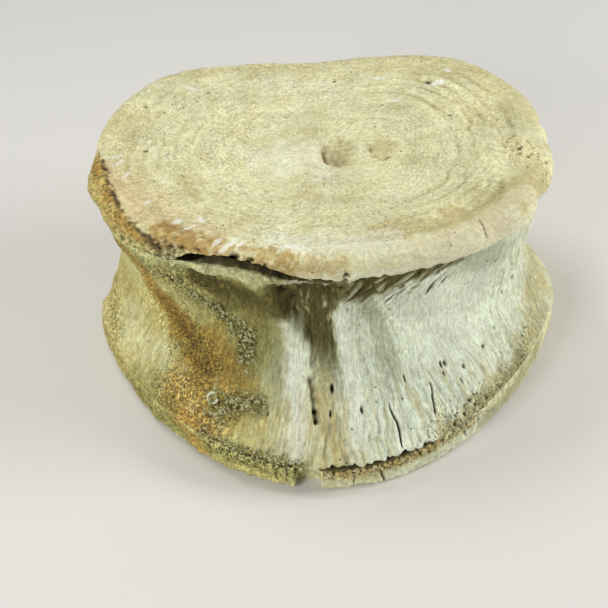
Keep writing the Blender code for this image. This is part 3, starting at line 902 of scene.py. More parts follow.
def slanted_on_wall(skin, bearing, height, half_width, half_length, lean):
    """1 in the middle of an oval on the wall that leans to the right, falling to 0 outside it."""
    flat = unrolled(signed(skin.bearing - bearing), skin.height - height)
    turn = np.radians(lean)
    along = flat[:, 0] * np.sin(turn) + flat[:, 1] * np.cos(turn)
    across = flat[:, 0] * np.cos(turn) - flat[:, 1] * np.sin(turn)
    return np.exp(-np.minimum((across / half_width) ** 2 + (along / half_length) ** 2, 40.0) ** 1.4)


def split_depth(points, path, half_width):
    """1 in the middle of a split, which narrows to a point at both its ends."""
    ends = np.array([path[0], path[-1]])
    length = np.linalg.norm(ends[1] - ends[0])
    share = np.clip((points - ends[0]) @ (ends[1] - ends[0]) / length**2, 0.0, 1.0)
    taper = half_width * (0.25 + 0.75 * np.sin(np.pi * share) ** 0.7)
    return np.exp(-np.minimum(path_distance(points, path) / taper, 8.0) ** 2)


def wall_shape(skin, shown):
    """All the wall's relief, from broad waves down to the grain; gives where each kind lies."""
    bearing, height, points, lie = skin.bearing, skin.height, skin.points, skin.lie
    near_seam = smooth_step(0.0, 3.0, height - low_seam(bearing))
    near_seam = near_seam * np.maximum(smooth_step(-0.5, 2.0, TOP_SEAM - height), gape(bearing))
    fluted = 0.45 + 0.55 * span(bearing, *FLUTED, 14.0) * smooth_step(104.0, 66.0, height)
    foot = span(bearing, -38.0, 60.0, 10.0) * smooth_step(46.0, 24.0, height)
    smooth_right = span(bearing, 26.0, 58.0, 10.0) * smooth_step(26.0, 44.0, height)
    smooth_lobe = flat_mask(skin, 9.0, 5.0, SMOOTH_LOBE, 107)
    wavering = bearing + 0.9 * noise(points, 11.0, 19, 2) + 1.3 * noise(lie, 5.0, 363, 3)
    splits = [split_depth(points, wall_path(path), width) for width, path in FISSURES]
    seen = {
        "rough": widest(skin, ROUGH_PATHS, 4.0, 60),
        "crust": widest(skin, CRUST_PATHS, 2.2, 70),
        "speckled": widest(skin, SPECKLED_PATHS, 7.0, 84) * (1.0 - 0.75 * smooth_lobe),
        "groove": groove_share(wavering, height) * smooth_step(30.0, 50.0, height),
        "splits": np.maximum.reduce(splits),
        "furrow": np.exp(-(path_distance(points, wall_path(FURROW)) / 1.7) ** 2),
        "clefts": np.maximum.reduce([slanted_on_wall(skin, *cleft) for cleft in CLEFTS]),
        "smooth": smooth_right,
        "lobe": smooth_lobe,
    }
    skin.porous = widest(skin, POROUS_PATHS, 3.0, 80)
    rise = 0.9 * noise(points, 34.0, 30, 2) + 0.35 * noise(points, 11.0, 31, 2)
    plain = 1.0 - 0.6 * smooth_right
    rise += plain * fluted * (0.45 * noise(lie, 7.0, 32, 2) + 0.42 * noise(lie, 3.0, 33, 3))
    rise += foot * (0.45 * noise(lie, 4.4, 44, 2) + 0.30 * noise(lie, 1.9, 45))
    rise += seen["groove"] * 0.70 * noise(lie, 2.6, 47, 2)
    rise += plain * 0.20 * noise(points, 2.4, 34, 2)
    speckle = 0.20 * seen["speckled"] * noise(points, 2.8, 42, 2)
    rise += seen["rough"] * (0.60 * noise(points, 2.8, 35, 3) - 0.3) + speckle
    under = span(bearing, *BUTTRESSES, 3.0) * smooth_step(78.0, 94.0, height)
    leaning = flat_ring(bearing - 0.5 * (height - 95.0), height / 2.0)
    seen["struts"] = under * noise(leaning, 5.0, 36, 3)
    rise += 1.5 * seen["struts"]
    torn = noise(points, 2.6, 48, 2)
    seen["clefts"] = seen["clefts"] * smooth_step(-0.9, 0.2, torn)
    rise -= CLEFT_DEPTH * seen["clefts"]
    seen["ledge"] = gape(bearing) * smooth_step(97.0, 101.0, height)
    rise += seen["ledge"] * (0.6 * torn + 0.7 * noise(points, 7.0, 46))
    pebble, _ = cells(points, 2.6, 38)
    rise += seen["crust"] * (0.9 * smooth_step(0.75, 0.1, pebble) - 0.3)
    sponge, chance = cells(points * np.array([1.0, 1.0, 0.6]), 1.7, 39)
    seen["hollows"] = smooth_step(0.42, 0.12, sponge) * (chance > 0.45)
    rise -= (1.0 * skin.porous + 0.5 * seen["rough"]) * seen["hollows"]
    seen["holes"] = pits(skin, [(wall_point(turn, level), wide, high)
                                for turn, level, wide, high in FORAMINA])
    rise -= FORAMEN_DEPTH * seen["holes"] + FISSURE_DEPTH * seen["splits"] + FURROW_DEPTH * seen["furrow"]
    bridged = filled_seam(bearing) * smooth_step(97.0, 103.0, height)
    rise += 1.7 * bridged * (noise(points, 3.4, 336, 3) + 0.2)
    skin.rise = rise * near_seam * shown
    skin.crust = seen["crust"] * (shown > 0.9)
    skin.grit = np.clip(0.03 + 0.70 * seen["rough"] + 0.34 * seen["speckled"] + 0.4 * skin.porous
                        + 0.6 * seen["crust"] + 0.22 * seen["groove"] + 0.2 * seen["ledge"], 0.0, 1.0)
    return seen


def wall_colours(skin, seen):
    """Stains with painted shade and light, then streaks along the grain, then dirt and painted shade in the
    hollows.
    """
    points, height, lie = skin.points, skin.height, skin.lie
    stain(skin, WALL_PATCHES, 100)
    plain = 1.0 - 0.6 * seen["smooth"]
    streak = noise(lie, 5.0, 90, 3) + 0.5 * noise(points, 4.0, 89, 2)
    skin.paint(BONE_TAN, 0.26 * plain * smooth_step(0.05, 0.7, streak))
    skin.paint(SHADE, 0.24 * plain * smooth_step(0.1, 0.7, -streak))
    strand = noise(lie, 2.4, 94, 3) * smooth_step(52.0, 30.0, height)
    warm = 0.60 + 0.40 * span(skin.bearing, -34.0, 8.0, 6.0)
    skin.paint(BONE_TAN, 0.60 * warm * smooth_step(0.05, 0.4, strand))
    skin.paint(SHADE, 0.34 * plain * patchy(lie, 0.2, 0.6, 1.9, 87, 2))
    skin.paint(BONE_PALE, 0.35 * smooth_step(0.1, 0.5, -strand))
    # painted shade and dirt darken the keel's groove, most towards its top under the rim, with paler
    # streaks
    zone = seen["groove"] * (0.15 + 0.85 * smooth_step(38.0, 60.0, height))
    fibre = noise(lie, 2.2, 98, 3)
    skin.paint(OLIVE, 0.90 * zone * smooth_step(-0.9, -0.1, -fibre))
    skin.paint(STAINED, 0.35 * zone * smooth_step(0.2, 0.6, fibre))
    # painted highlight on the struts under the upper disc, and painted shade between them
    skin.paint(BONE_PALE, 0.55 * smooth_step(0.05, 0.5, seen["struts"]))
    skin.paint(OLIVE, 0.65 * smooth_step(0.05, 0.4, -seen["struts"]))
    skin.paint(CHALK, 0.75 * flat_mask(skin, 1.8, 2.2, CHALKY_LIP, 96))
    skin.paint(OLIVE, 0.50 * seen["crust"])
    # dirt and painted shade in the furrow and in the pits
    skin.paint(DIRT_AND_SHADE, 0.75 * seen["furrow"] * patchy(points, -0.5, 0.3, 3.0, 97))
    skin.paint(DIRT_AND_SHADE, (0.80 * skin.porous + 0.22 * seen["rough"]) * seen["hollows"])
    skin.shade(1.0 + 0.07 * noise(points, 26.0, 91, 2) + 0.05 * plain * noise(points, 3.0, 92, 3))
    skin.shade(1.0 + (0.22 * seen["rough"] + 0.10 * seen["speckled"]) * noise(points, 1.7, 93, 3))
    # painted shade in the hollows of the relief and painted highlight on its crests
    skin.shade_relief(0.50, 0.18)
    skin.yellow(span(skin.bearing, -115.0, -18.0, 7.0) * (1.0 - 0.3 * seen["lobe"]))
    # painted highlights along the ridges' crests
    stain(skin, RIDGE_CRESTS, 250)
    skin.paint(LIT, 0.12 * seen["lobe"] * patchy(points, -0.2, 0.5, 9.0, 86, 2))
    # painted shade in the clefts, the holes and the splits
    skin.paint(OLIVE, 0.70 * smooth_step(0.05, 0.5, seen["clefts"]))
    skin.paint(CRACK_SHADOW, 0.60 * smooth_step(0.35, 0.9, seen["clefts"]))
    skin.paint(CRACK_SHADOW, 0.88 * seen["holes"])
    skin.paint(CRACK_SHADOW, 0.85 * seen["splits"])


def make_wall(material):
    """The skin of the centrum, with the ledge and the hollow of the gaping upper seam."""
    loops = wall_loops()
    skin = Skin("wall_skin", loops, on_axis(LOW_SEAM_FOOT + 0.5 * CLOSED_GAP),
                on_axis(TOP_SEAM - 0.5 * CLOSED_GAP), BONE_PALE)
    head = np.tile(loops[-1 - len(HIGH_MOUTH)][:, 2], len(loops))
    inside = np.concatenate([mouth_shade(SEAM_MOUTH[::-1]), np.zeros(WALL_RINGS * COLUMNS),
                             mouth_shade(high_mouth(LEDGE_MOUTH)), [1.0, 1.0]])
    bend = 0.9 * noise(skin.points, 22.0, 28) + 0.4 * noise(skin.points, 7.0, 29, 2)
    sway = 3.0 * noise(skin.points, 12.0, 18, 2)
    skin.lie = flat_ring(skin.bearing + bend, (skin.height + sway) / WALL_GRAIN)
    hollow = gape(skin.bearing) * (skin.height > 90.0)
    wall_colours(skin, wall_shape(skin, in_sight(inside, hollow)))
    below = np.append(head, [0.0, 0.0]) - skin.height
    below = below + 1.2 * noise(skin.points, 4.0, 88, 2)
    ledge = hollow * smooth_step(0.95 * LEDGE_THICK, 0.60 * LEDGE_THICK, below)
    ledge = ledge * smooth_step(0.35, 0.05, inside)
    fuzz = noise(skin.points, 3.0, 95, 3)
    skin.paint(LEDGE, 0.90 * ledge * smooth_step(-1.0, -0.2, fuzz))
    skin.paint(BONE_PALE, 0.50 * ledge * smooth_step(0.1, 0.6, fuzz))
    skin.paint(DIRT_AND_SHADE, 0.45 * ledge * smooth_step(0.25, 0.7, -fuzz))
    # painted shade in the seam's mouth, darker the deeper in, and mottled painted shade in the hollow
    # behind the ledge
    skin.paint(DIRT_AND_SHADE, smooth_step(0.0, 0.4, inside) * (1.0 - 0.7 * hollow))
    mottle = noise(skin.points, 3.6, 99, 3)
    slope = hollow * smooth_step(0.02, 0.12, inside + 0.05 * noise(skin.points, 5.0, 366, 2))
    skin.paint(OLIVE, 0.95 * slope * smooth_step(-1.2, -0.1, mottle))
    skin.paint(SHADOW_TAN, 0.40 * slope * smooth_step(0.2, 0.6, mottle))
    skin.paint(CRACK_SHADOW, slope * (0.30 + 0.45 * smooth_step(-0.1, 0.4, -mottle)))
    skin.paint(CRACK_SHADOW, 0.9 * smooth_step(0.3, 1.0, inside) * (1.0 - 0.7 * hollow))
    return skin.finish(material, "wall_bone", "centrum")


# ---------------------------------------------------------------- the upper disc
# open pores of the upper face: x, y and size
FACE_PORES = (
    (-95.0, 50.0, 1.0), (-91.9, 8.1, 1.0), (73.0, 27.0, 0.8), (32.5, 21.0, 0.8), (104.0, -9.0, 1.0),
    (107.0, -18.0, 0.9), (-60.0, 62.0, 0.7), (12.0, 66.0, 0.7), (2.8, -3.6, 1.5), (65.0, 59.8, 1.2),
    (-79.0, 58.0, 0.7), (-84.0, 44.0, 0.6), (-30.0, 14.0, 0.5), (-48.0, 34.0, 0.5), (50.0, 12.0, 0.6),
)
# fresh white scratches on the upper face: x, y, half length, half width, slant in degrees
CHIPS = (
    (-107.5, 4.6, 5.0, 0.9, 15), (-105.9, -1.7, 4.0, 0.9, 35), (-61.2, -51.8, 4.5, 1.2, -48),
    (-72.5, -52.5, 3.6, 1.9, 10), (-66.0, -58.0, 2.6, 1.0, 20), (-44.8, -71.7, 6.0, 1.5, 45),
    (-52.5, -70.6, 3.5, 1.5, 60), (-40.5, -72.5, 4.0, 1.2, 40), (-18.0, -77.0, 6.0, 1.1, 5),
    (-12.0, -79.0, 4.0, 0.9, -20), (-49.0, -75.5, 3.0, 1.6, 50),
    (70.5, 58.1, 5.0, 2.2, 15), (77.8, 70.3, 4.0, 1.4, -40), (38.3, 66.8, 5.0, 1.2, 0),
    (44.7, 45.2, 5.0, 1.2, 0), (-101.0, -12.0, 3.0, 1.0, 60),
    (-88.0, -36.0, 2.5, 1.0, 40), (-70.0, 66.0, 5.0, 1.2, -30),
)
# a hairline crack near the right rim
HAIRLINE = ((74.0, -66.0), (75.0, -68.0), (76.5, -72.0))
# the spongy stretch inside the right rim
RIGHT_SPONGE = ((102, -3), (106, -13), (112, -26))
# stains, and a painted highlight, on the upper face: colour, strength, half width, raggedness, then x and y
# of its middle
FACE_PATCHES = (
    (BONE_TAN, 0.36, 16.0, 12.0, ((-60, 96), (0, 84), (60, 88), (95, 70), (112, 30))),  # yellowed far rim
    (BONE_TAN, 0.32, 22.0, 14.0, ((-112, 40), (-112, 0), (-95, -40))),  # yellowed left
    (BONE_TAN, 0.60, 2.6, 2.5, ((-74, -15), (-68, -23), (-63, -36))),  # tan streak
    (BONE_TAN, 0.64, 9.0, 7.0, ((30, -68), (55, -66), (76, -58), (98, -42), (108, -28))),  # trough
    (PINK, 0.55, 6.0, 4.0, ((40, -82), (62, -77), (85, -62), (102, -44))),  # rosy rim
    (PEACH, 0.40, 11.0, 9.0, ((-104, -14), (-90, -36), (-74, -50), (-50, -62))),  # peach left
    (PEACH, 0.50, 4.0, 4.0, ((-112, -4), (-101, -24), (-92, -42), (-80, -54))),  # warm left edge
    (NEAR_RIM, 0.75, 9.0, 5.0, ((-22, -72), (0, -78), (30, -76))),  # pale near rim
    (ORANGE, 0.92, 7.5, 4.5, ((-80, -60), (-68, -66), (-56, -71))),  # orange rim left
    (ORANGE, 0.66, 5.5, 4.0, ((-44, -77), (-34, -82), (-20, -85))),  # orange rim
    (ORANGE, 0.35, 4.5, 4.0, ((-20, -86), (-8, -88), (4, -89))),  # orange rim middle
    (CHALK, 0.30, 13.0, 9.0, ((-26, -2), (-4, -8))),  # painted highlight on the swelling
    (SPONGE, 0.70, 8.0, 4.0, RIGHT_SPONGE),  # pale sponge
    (CHALK, 0.12, 18.0, 14.0, ((-20, 66), (20, 60))),  # far chalk
)
# the edge of the worn-away left rim: bearing and radius
BEVEL_EDGE = (
    (-96.0, 118.5), (-92.2, 115.7), (-85.9, 112.0), (-78.0, 110.1), (-73.4, 109.2),
    (-66.9, 108.4), (-60.9, 108.0), (-56.0, 106.5), (-52.0, 104.0), (-46.0, 108.0))
# hollows in the upper disc's edge: bearing, height, half width, half height
RIM_CAVITIES = (
    (-50.8, 117.6, 2.0, 3.0), (-48.2, 115.4, 2.8, 2.2), (-45.0, 116.0, 3.0, 2.0), (-40.5, 117.4, 2.2, 1.2),
    (-29.4, 118.4, 2.8, 2.0), (-24.0, 118.2, 2.6, 1.2), (-19.6, 116.6, 2.2, 1.2),
    (5.3, 111.0, 1.5, 3.4), (39.5, 107.6, 1.5, 1.3), (41.8, 107.4, 1.2, 1.2), (-6.0, 108.5, 2.6, 1.2),
    (14.0, 107.6, 2.0, 0.9),
)
# soft bands of growth near the rim: share of the way from the pit, and half width in shares
GROWTH_BANDS = ((0.62, 0.010), (0.70, 0.008), (0.77, 0.012), (0.84, 0.009), (0.905, 0.011))


def growth_bands(skin, share):
    """Soft concentric bands, clear near the right rim and faint near the left one."""
    drift = 0.02 * noise(skin.points, 24.0, 341, 2)
    lines = sum(np.exp(-((share + drift - middle) / half) ** 2) for middle, half in GROWTH_BANDS)
    near = span(skin.bearing, 44.0, 150.0, 22.0) + 0.5 * span(skin.bearing, -120.0, -60.0, 20.0)
    return lines * near * patchy(skin.points, -0.6, 0.3, 14.0, 342, 2)


def arc(steps):
    """Turns from 0 to a quarter circle, for a rounded edge."""
    return np.linspace(0.0, 0.5 * np.pi, steps)


def disc_profile(bearing):
    """Rings up the upper disc's edge, from its underside's edge to where the face starts."""
    gaping = gape(bearing)
    rim = top_radius(bearing) + 0.7 * jitter(bearing, 40.0, 51) + 0.35 * jitter(bearing, 9.0, 52)
    rim += sum(lump(bearing, *step) for step in RIM_STEPS)
    rounding = TOP_RIM_ROUND + lump(bearing, *TOP_BEVEL_LEFT) - LIP_SHARPER * gaping
    ledge = (TOP_LEDGE + lump(bearing, *LIP_BROKEN_LEFT)) * (1.0 - 0.85 * filled_seam(bearing))
    _, underside = high_lips(bearing)
    lip = np.minimum(TOP_LIP_ROUND + underside - TOP_SEAM, LENGTH - rounding - underside - 0.2)
    lip = np.maximum(lip, 0.1)
    rings = []
    for turn in arc(9):
        radius = rim - ledge * (1.0 - np.sin(turn))
        rings.append(ring(bearing, radius, underside + lip * (1.0 - np.cos(turn))))
    side_foot = underside + lip
    side_head = np.maximum(LENGTH - rounding, side_foot + 0.1)
    for share in (0.25, 0.5, 0.75):
        rings.append(ring(bearing, rim, side_foot + (side_head - side_foot) * share))
    for turn in arc(17):
        height = side_head + (LENGTH - side_head) * np.sin(turn)
        rings.append(ring(bearing, rim - rounding * (1.0 - np.cos(turn)), height))
    return rings


def face_shares():
    """Shares of the way from pit to rim for the face's rings, evenly apart in millimetres."""
    return np.linspace(1.0, 0.0, FACE_RINGS + 1)[1:-1]


def thinned(points, share):
    """Fewer points on a ring that is drawn in, so that its faces stay about as wide as long."""
    for limit, step in THINNING:
        if share < limit:
            return points[::step]
    return points


def top_loops():
    """Rings of the upper disc from the closed seam out, up its edge and in to the pit."""
    profile = disc_profile(BEARINGS)
    edge = profile[0]
    floor = TOP_SEAM + 0.5 * CLOSED_GAP
    inner = mouth_rings(out_from_axis(edge), edge[:, 2], floor, high_mouth(BROKEN_MOUTH))
    pit = np.array((*PIT, LENGTH))
    edge = profile[-1]
    face = []
    for share in face_shares():
        points = toward(edge, pit, share)
        points[:, 2] = face_height(points[:, 0], points[:, 1], share)
        face.append(thinned(points, share))
    return inner[::-1] + profile + face, len(profile)


def worn_edge(skin):
    """How far outside the worn left edge each point lies, in millimetres."""
    bearings, radii = np.array(BEVEL_EDGE).T
    return skin.radius - np.interp(skin.bearing, bearings, radii) + 1.2 * noise(skin.points, 7.0, 68, 2)


def slanted(skin, x, y, half_length, half_width, slant):
    """1 in the middle of a slanted oval on the upper face, falling to 0 outside it."""
    turn = np.radians(slant)
    along = (skin.x - x) * np.cos(turn) + (skin.y - y) * np.sin(turn)
    aside = (skin.y - y) * np.cos(turn) - (skin.x - x) * np.sin(turn)
    return np.exp(-((along / half_length) ** 2 + (aside / half_width) ** 2))


def face_mask(skin, half_width, ragged, path, seed):
    """1 along a path on the upper face, fading out over a ragged margin."""
    away = path_distance(skin.points[:, :2], np.array(path, float))
    away = away + ragged * (noise(skin.points, 12.0, seed, 3) + 0.4 * noise(skin.points, 2.5, seed + 5))
    return smooth_step(1.35 * half_width, 0.55 * half_width, away)


def top_shape(skin, share, shown):
    """Relief of the upper disc: bands, grit, rim roll, cavities and chips; gives where each lies."""
    points, bearing, height = skin.points, skin.bearing, skin.height
    on_face = smooth_step(LENGTH - 7.0, LENGTH - 3.5, height)
    side = 1.0 - on_face
    outer = smooth_step(0.25, 0.5, share)
    banded = smooth_step(0.3, 0.65, share) * patchy(points, -0.5, 0.4, 45.0, 55)
    drawn_out = skin.lie * BAND_STRETCH
    rise = 0.55 * noise(points, 30.0, 53, 2) + 0.24 * banded * noise(drawn_out, 5.0, 54, 2)
    bright = bump(skin.x, skin.y, SWELLING, 1.1 * SWELLING_RADIUS)
    near_right = span(bearing, *TROUGH_BEARINGS, 12.0)
    rolled = near_right * smooth_step(0.90, 0.95, share)
    sandy = (0.7 + 0.7 * noise(points, 30.0, 67, 2)) * (1.0 - 0.7 * bright) * (1.0 - 0.7 * rolled)
    grain = 0.28 * noise(skin.lie, 3.0, 56, 2) + 0.20 * noise(skin.lie, 1.5, 66)
    even_grain = 0.26 * noise(points, 2.6, 49, 2) + 0.18 * noise(points, 1.4, 50)
    rise += on_face * sandy * (outer * grain + (1.0 - outer) * even_grain)
    rise += 0.20 * noise(points, 5.5, 57, 2) + 0.13 * (1.0 - 0.6 * rolled) * noise(points, 1.9, 58)
    bands = growth_bands(skin, share)
    rise -= 0.28 * bands * on_face
    rise += 0.5 * near_right * np.exp(-((share - 0.985) / 0.05) ** 2)
    torn_edge = noise(points, 2.4, 345, 2)
    crescent = np.maximum(slanted(skin, PIT[0] - 5.6, PIT[1] + 2.5, 8.0, 1.8, 98.0),
                          slanted(skin, PIT[0] - 3.0, PIT[1] - 5.2, 4.0, 1.8, -35.0))
    crescent = crescent * smooth_step(-1.0, 0.2, torn_edge)
    basin = slanted(skin, PIT[0] + 1.4, PIT[1] + 4.2, 12.0, 8.4, 90.0)
    basin = basin * (1.0 + 0.35 * noise(points, 6.0, 339, 2)) * smooth_step(-8.0, -5.0, skin.x - PIT[0])
    basin = smooth_step(0.10, 0.80, basin)
    rise -= 1.3 * crescent + 1.2 * basin - 0.40 * basin * noise(points, 3.0, 340, 2)
    dip_edge = slanted(skin, DIP[0] - 7.0, DIP[1] + 4.0, 5.0, 1.3, 105.0)
    dip_edge = np.maximum(dip_edge, slanted(skin, DIP[0] + 1.0, DIP[1] - 2.0, 5.0, 1.2, 20.0))
    dip_edge = dip_edge * smooth_step(-0.5, 0.4, torn_edge)
    rise -= 0.6 * dip_edge
    rise += 0.6 * slanted(skin, DIP[0] + 10.0, DIP[1] + 8.0, 7.0, 1.8, 95.0)
    zone = span(bearing, -95.0, -50.0, 3.0) * smooth_step(100.0, 112.0, height)
    away = worn_edge(skin)
    torn = noise(points, 2.0, 59, 3) + 0.8 * noise(points, 9.0, 359, 2)
    reach = np.maximum(1.3 * (1.0 + 0.9 * noise(points, 8.0, 360, 2)), 0.4)
    bevel = zone * np.exp(-(away / reach) ** 2) * smooth_step(-0.8, 0.2, torn)
    outside = zone * smooth_step(-1.0, 2.4, away)
    rise -= 1.3 * bevel
    rise += outside * (0.45 * noise(points, 3.4, 61, 3) + 0.30 * noise(points, 1.7, 60, 2) - 0.5)
    broken = span(bearing, -56.0, -15.0, 3.0) * side
    rise += broken * (0.50 * noise(points, 9.0, 62, 4) - 0.2)
    rise += 0.9 * gape(bearing) * smooth_step(116.0, 113.0, height) * noise(points, 4.0, 364, 3)
    rise += 1.7 * filled_seam(bearing) * side * noise(points, 3.4, 336, 3)
    cavities = pits(skin, [(edge_point(top_radius, turn, level, 1.0), wide, high)
                           for turn, level, wide, high in RIM_CAVITIES])
    cavities = cavities * patchy(points, -0.6, 0.4, 2.8, 69, 3)
    rise -= 1.9 * cavities * smooth_step(LENGTH, LENGTH - 1.5, height)
    pores = pits(skin, [((x, y, LENGTH - 1.0), 1.25 * size, 1.25 * size) for x, y, size in FACE_PORES])
    rise -= 1.4 * pores
    chips = np.maximum.reduce([slanted(skin, *chip) for chip in CHIPS])
    chips = smooth_step(0.15, 0.70, chips * (1.0 + 0.9 * noise(points, 2.2, 63, 2))) * on_face
    rise -= 0.3 * chips
    split = np.exp(-(path_distance(points[:, :2], np.array(HAIRLINE)) / 0.35) ** 2)
    split = split * (height > LENGTH - 7.0)
    rise -= 0.6 * split
    skin.porous = 0.8 * face_mask(skin, 8.0, 3.0, RIGHT_SPONGE, 64)
    sponge, chance = cells(points * np.array([1.0, 0.6, 1.0]), 2.1, 65)
    dashes = smooth_step(0.46, 0.2, sponge) * (chance > 0.5)
    rise += skin.porous * (0.7 - 1.1 * dashes)
    skin.rise = rise * shown
    sifted = (0.8 + 0.9 * noise(points, 16.0, 365, 3)) * smooth_step(0.02, 0.30, share)
    skin.grit = np.clip(on_face * sifted * (0.27 - 0.18 * bright - 0.22 * rolled) + 0.02 + 0.4 * outside
                        + 0.6 * broken + 0.25 * skin.porous, 0.0, 1.0)
    return {"bevel": bevel, "broken": broken, "cavities": cavities, "pores": pores, "chips": chips,
            "split": split, "outside": outside, "crescent": crescent, "dip_edge": dip_edge,
            "bands": bands, "outer": outer, "calm": np.maximum(bright, rolled), "away": away,
            "basin": basin, "dashes": dashes}


def top_colours(skin, seen):
    """Stains of the upper disc, its broken lip darkened by dirt and painted shade, then flecks, and painted
    shade and highlight on the relief.
    """
    points = skin.points
    upper = smooth_step(LENGTH - 9.0, LENGTH - 5.0, skin.height)
    side = 1.0 - upper
    skin.paint(NEAR_RIM, 0.8 * side)
    skin.paint(PINK, 0.4 * side * span(skin.bearing, 18.0, 120.0, 10.0))
    skin.paint(BONE_TAN, 0.6 * side * span(skin.bearing, -125.0, -60.0, 8.0))
    clouds = noise(points, 15.0, 353, 3)
    skin.paint(BONE_TAN, 0.34 * upper * smooth_step(0.05, 0.6, clouds))
    skin.paint(CHALK, 0.14 * upper * smooth_step(0.1, 0.6, -clouds))
    mottled = patchy(points, -0.8, 0.3, 4.5, 343, 3)
    for seed, (colour, strength, width, ragged, path) in enumerate(FACE_PATCHES):
        mask = strength * smooth_step(LENGTH - 13.0, LENGTH - 7.0, skin.height)
        mask = mask * face_mask(skin, width, ragged, path, 300 + 7 * seed)
        skin.paint(colour, mask * mottled if colour == ORANGE else mask)
    skin.paint(BONE_TAN, 0.55 * upper * seen["bands"])
    skin.paint(SHADE, 0.30 * smooth_step(109.5, 106.5, skin.height))
    lower = smooth_step(119.0, 116.0, skin.height)
    # dirt and painted shade darken the lower part of the broken lip
    skin.paint(OLIVE, 0.85 * seen["broken"] * lower * patchy(points, -0.7, 0.2, 5.0, 350, 2))
    skin.paint(BONE_TAN, 0.85 * seen["outside"])
    edge = smooth_step(10.0, 4.0, seen["away"])
    skin.paint(OUTER_TAN, 0.70 * seen["outside"] * edge * patchy(points, -0.8, 0.3, 5.0, 354, 3))
    skin.paint(DIRT_AND_SHADE, 0.35 * seen["outside"] * patchy(points, 0.15, 0.5, 1.9, 356, 3))
    skin.paint(GREY_ROT, 0.7 * seen["outside"] * smooth_step(112.0, 107.0, skin.height))
    bridged = span(skin.bearing, -66.0, -44.0, 4.0) * smooth_step(115.5, 111.5, skin.height)
    skin.paint(BONE_CREAM, 0.60 * bridged)
    skin.paint(GREY_ROT, 0.60 * bridged * patchy(points, -0.4, 0.4, 6.0, 361, 2))
    skin.paint(OLIVE, 0.80 * bridged * patchy(points, 0.05, 0.45, 3.0, 337, 3))
    near_middle = noise(points, 2.4, 346, 3)
    flecks = seen["outer"] * (noise(skin.lie, 2.8, 355, 3) + 0.4 * noise(points, 2.0, 357, 2))
    flecks += (1.0 - seen["outer"]) * near_middle
    amount = (0.75 + 0.5 * noise(points, 22.0, 347, 2)) * (1.0 - 0.8 * seen["calm"]) * upper
    skin.paint(BONE_TAN, 0.40 * amount * smooth_step(0.05, 0.6, flecks))
    skin.paint(CHALK, 0.20 * amount * smooth_step(0.1, 0.7, -flecks))
    skin.paint(DIRT_AND_SHADE, 0.30 * amount * patchy(points, 0.45, 0.75, 2.0, 348, 2))
    bands = noise(skin.lie * BAND_STRETCH, 5.0, 351, 2)
    skin.shade(1.0 + 0.05 * bands * upper)
    skin.shade(1.0 + 0.05 * noise(points, 26.0, 352, 2))
    fill = noise(points, 3.0, 344, 3)
    dip = slanted(skin, DIP[0] - 1.0, DIP[1] + 6.0, 8.5, 6.5, 10.0)
    dip = dip * (1.0 + 0.5 * noise(points, 5.0, 338, 2))
    pit = np.maximum(seen["basin"], 0.85 * smooth_step(0.05, 0.9, dip))
    skin.paint(BONE_TAN, 0.48 * pit * smooth_step(-1.2, 0.0, fill))
    skin.paint(BROWN, 0.16 * pit * smooth_step(0.0, 0.5, fill))
    # painted shadow along the pit's steep left edge and along the dip's edge
    skin.paint(BROWN, 0.70 * seen["crescent"])
    skin.paint(BROWN, 0.55 * seen["dip_edge"])
    # painted shade in the hollows of the relief and painted highlight on its crests
    skin.shade_relief(0.40, 0.12)
    skin.yellow(0.8 * seen["outside"])
    skin.paint(CHALK, 0.85 * seen["chips"])
    # dirt and painted shade in the sponge's dashes; painted shade in the worn bevel's groove, the rim's
    # cavities, the hairline split and the pores
    skin.paint(DIRT_AND_SHADE, 0.50 * skin.porous * seen["dashes"])
    skin.porous = 0.35 * skin.porous
    skin.paint(BROWN, 0.50 * smooth_step(0.1, 0.5, seen["bevel"]))
    skin.paint(CRACK_SHADOW, 0.48 * smooth_step(0.45, 0.9, seen["bevel"]))
    deep = smooth_step(0.25, 0.9, seen["cavities"])
    skin.paint(CRACK_SHADOW, np.maximum(0.55 * deep, 0.5 * seen["split"]))
    skin.paint(DIRT_AND_SHADE, 0.7 * seen["cavities"] * (1.0 - deep))
    skin.paint(CRACK_SHADOW, 0.75 * seen["pores"])


def make_top(material):
    """The skin of the upper disc, with its broken left lip."""
    loops, profile = top_loops()
    last = np.array((*PIT, float(face_height(*PIT, 0.0))))
    skin = Skin("top_disc_skin", loops, on_axis(TOP_SEAM + 0.5 * CLOSED_GAP), last, BONE_CREAM)
    ways = [1.0] * (len(HIGH_MOUTH) + profile) + list(face_shares())
    share = np.append(np.repeat(ways, [len(loop) for loop in loops]), [1.0, 0.0])
    inside = np.zeros(len(skin.points))
    inside[:len(HIGH_MOUTH) * COLUMNS] = mouth_shade(high_mouth(BROKEN_MOUTH)[::-1])
    inside[-2] = 1.0
    out = FACE_GRAIN_OUT * share
    skin.lie = ring(skin.bearing, FACE_GRAIN_ROUND * share, out + LENGTH - skin.height)
    hollow = gape(skin.bearing)
    top_colours(skin, top_shape(skin, share, in_sight(inside, hollow)))
    # painted shade in the seam's mouth, darker the deeper in, mottled in the hollow behind the broken lip
    mottle = noise(skin.points, 3.6, 358, 3)
    skin.paint(OLIVE, smooth_step(0.0, 0.4, inside) * (1.0 - hollow * smooth_step(-0.1, 0.5, mottle)))
    skin.paint(SHADOW_TAN, 0.9 * hollow * smooth_step(0.0, 0.4, inside) * smooth_step(-0.1, 0.5, mottle))
    depths = smooth_step(0.3, 1.0, inside) * (0.9 - 0.35 * hollow)
    skin.paint(CRACK_SHADOW, depths * (1.0 - hollow * smooth_step(-0.6, 0.1, mottle)))
    return skin.finish(material, "face_bone", "epiphysis_top")


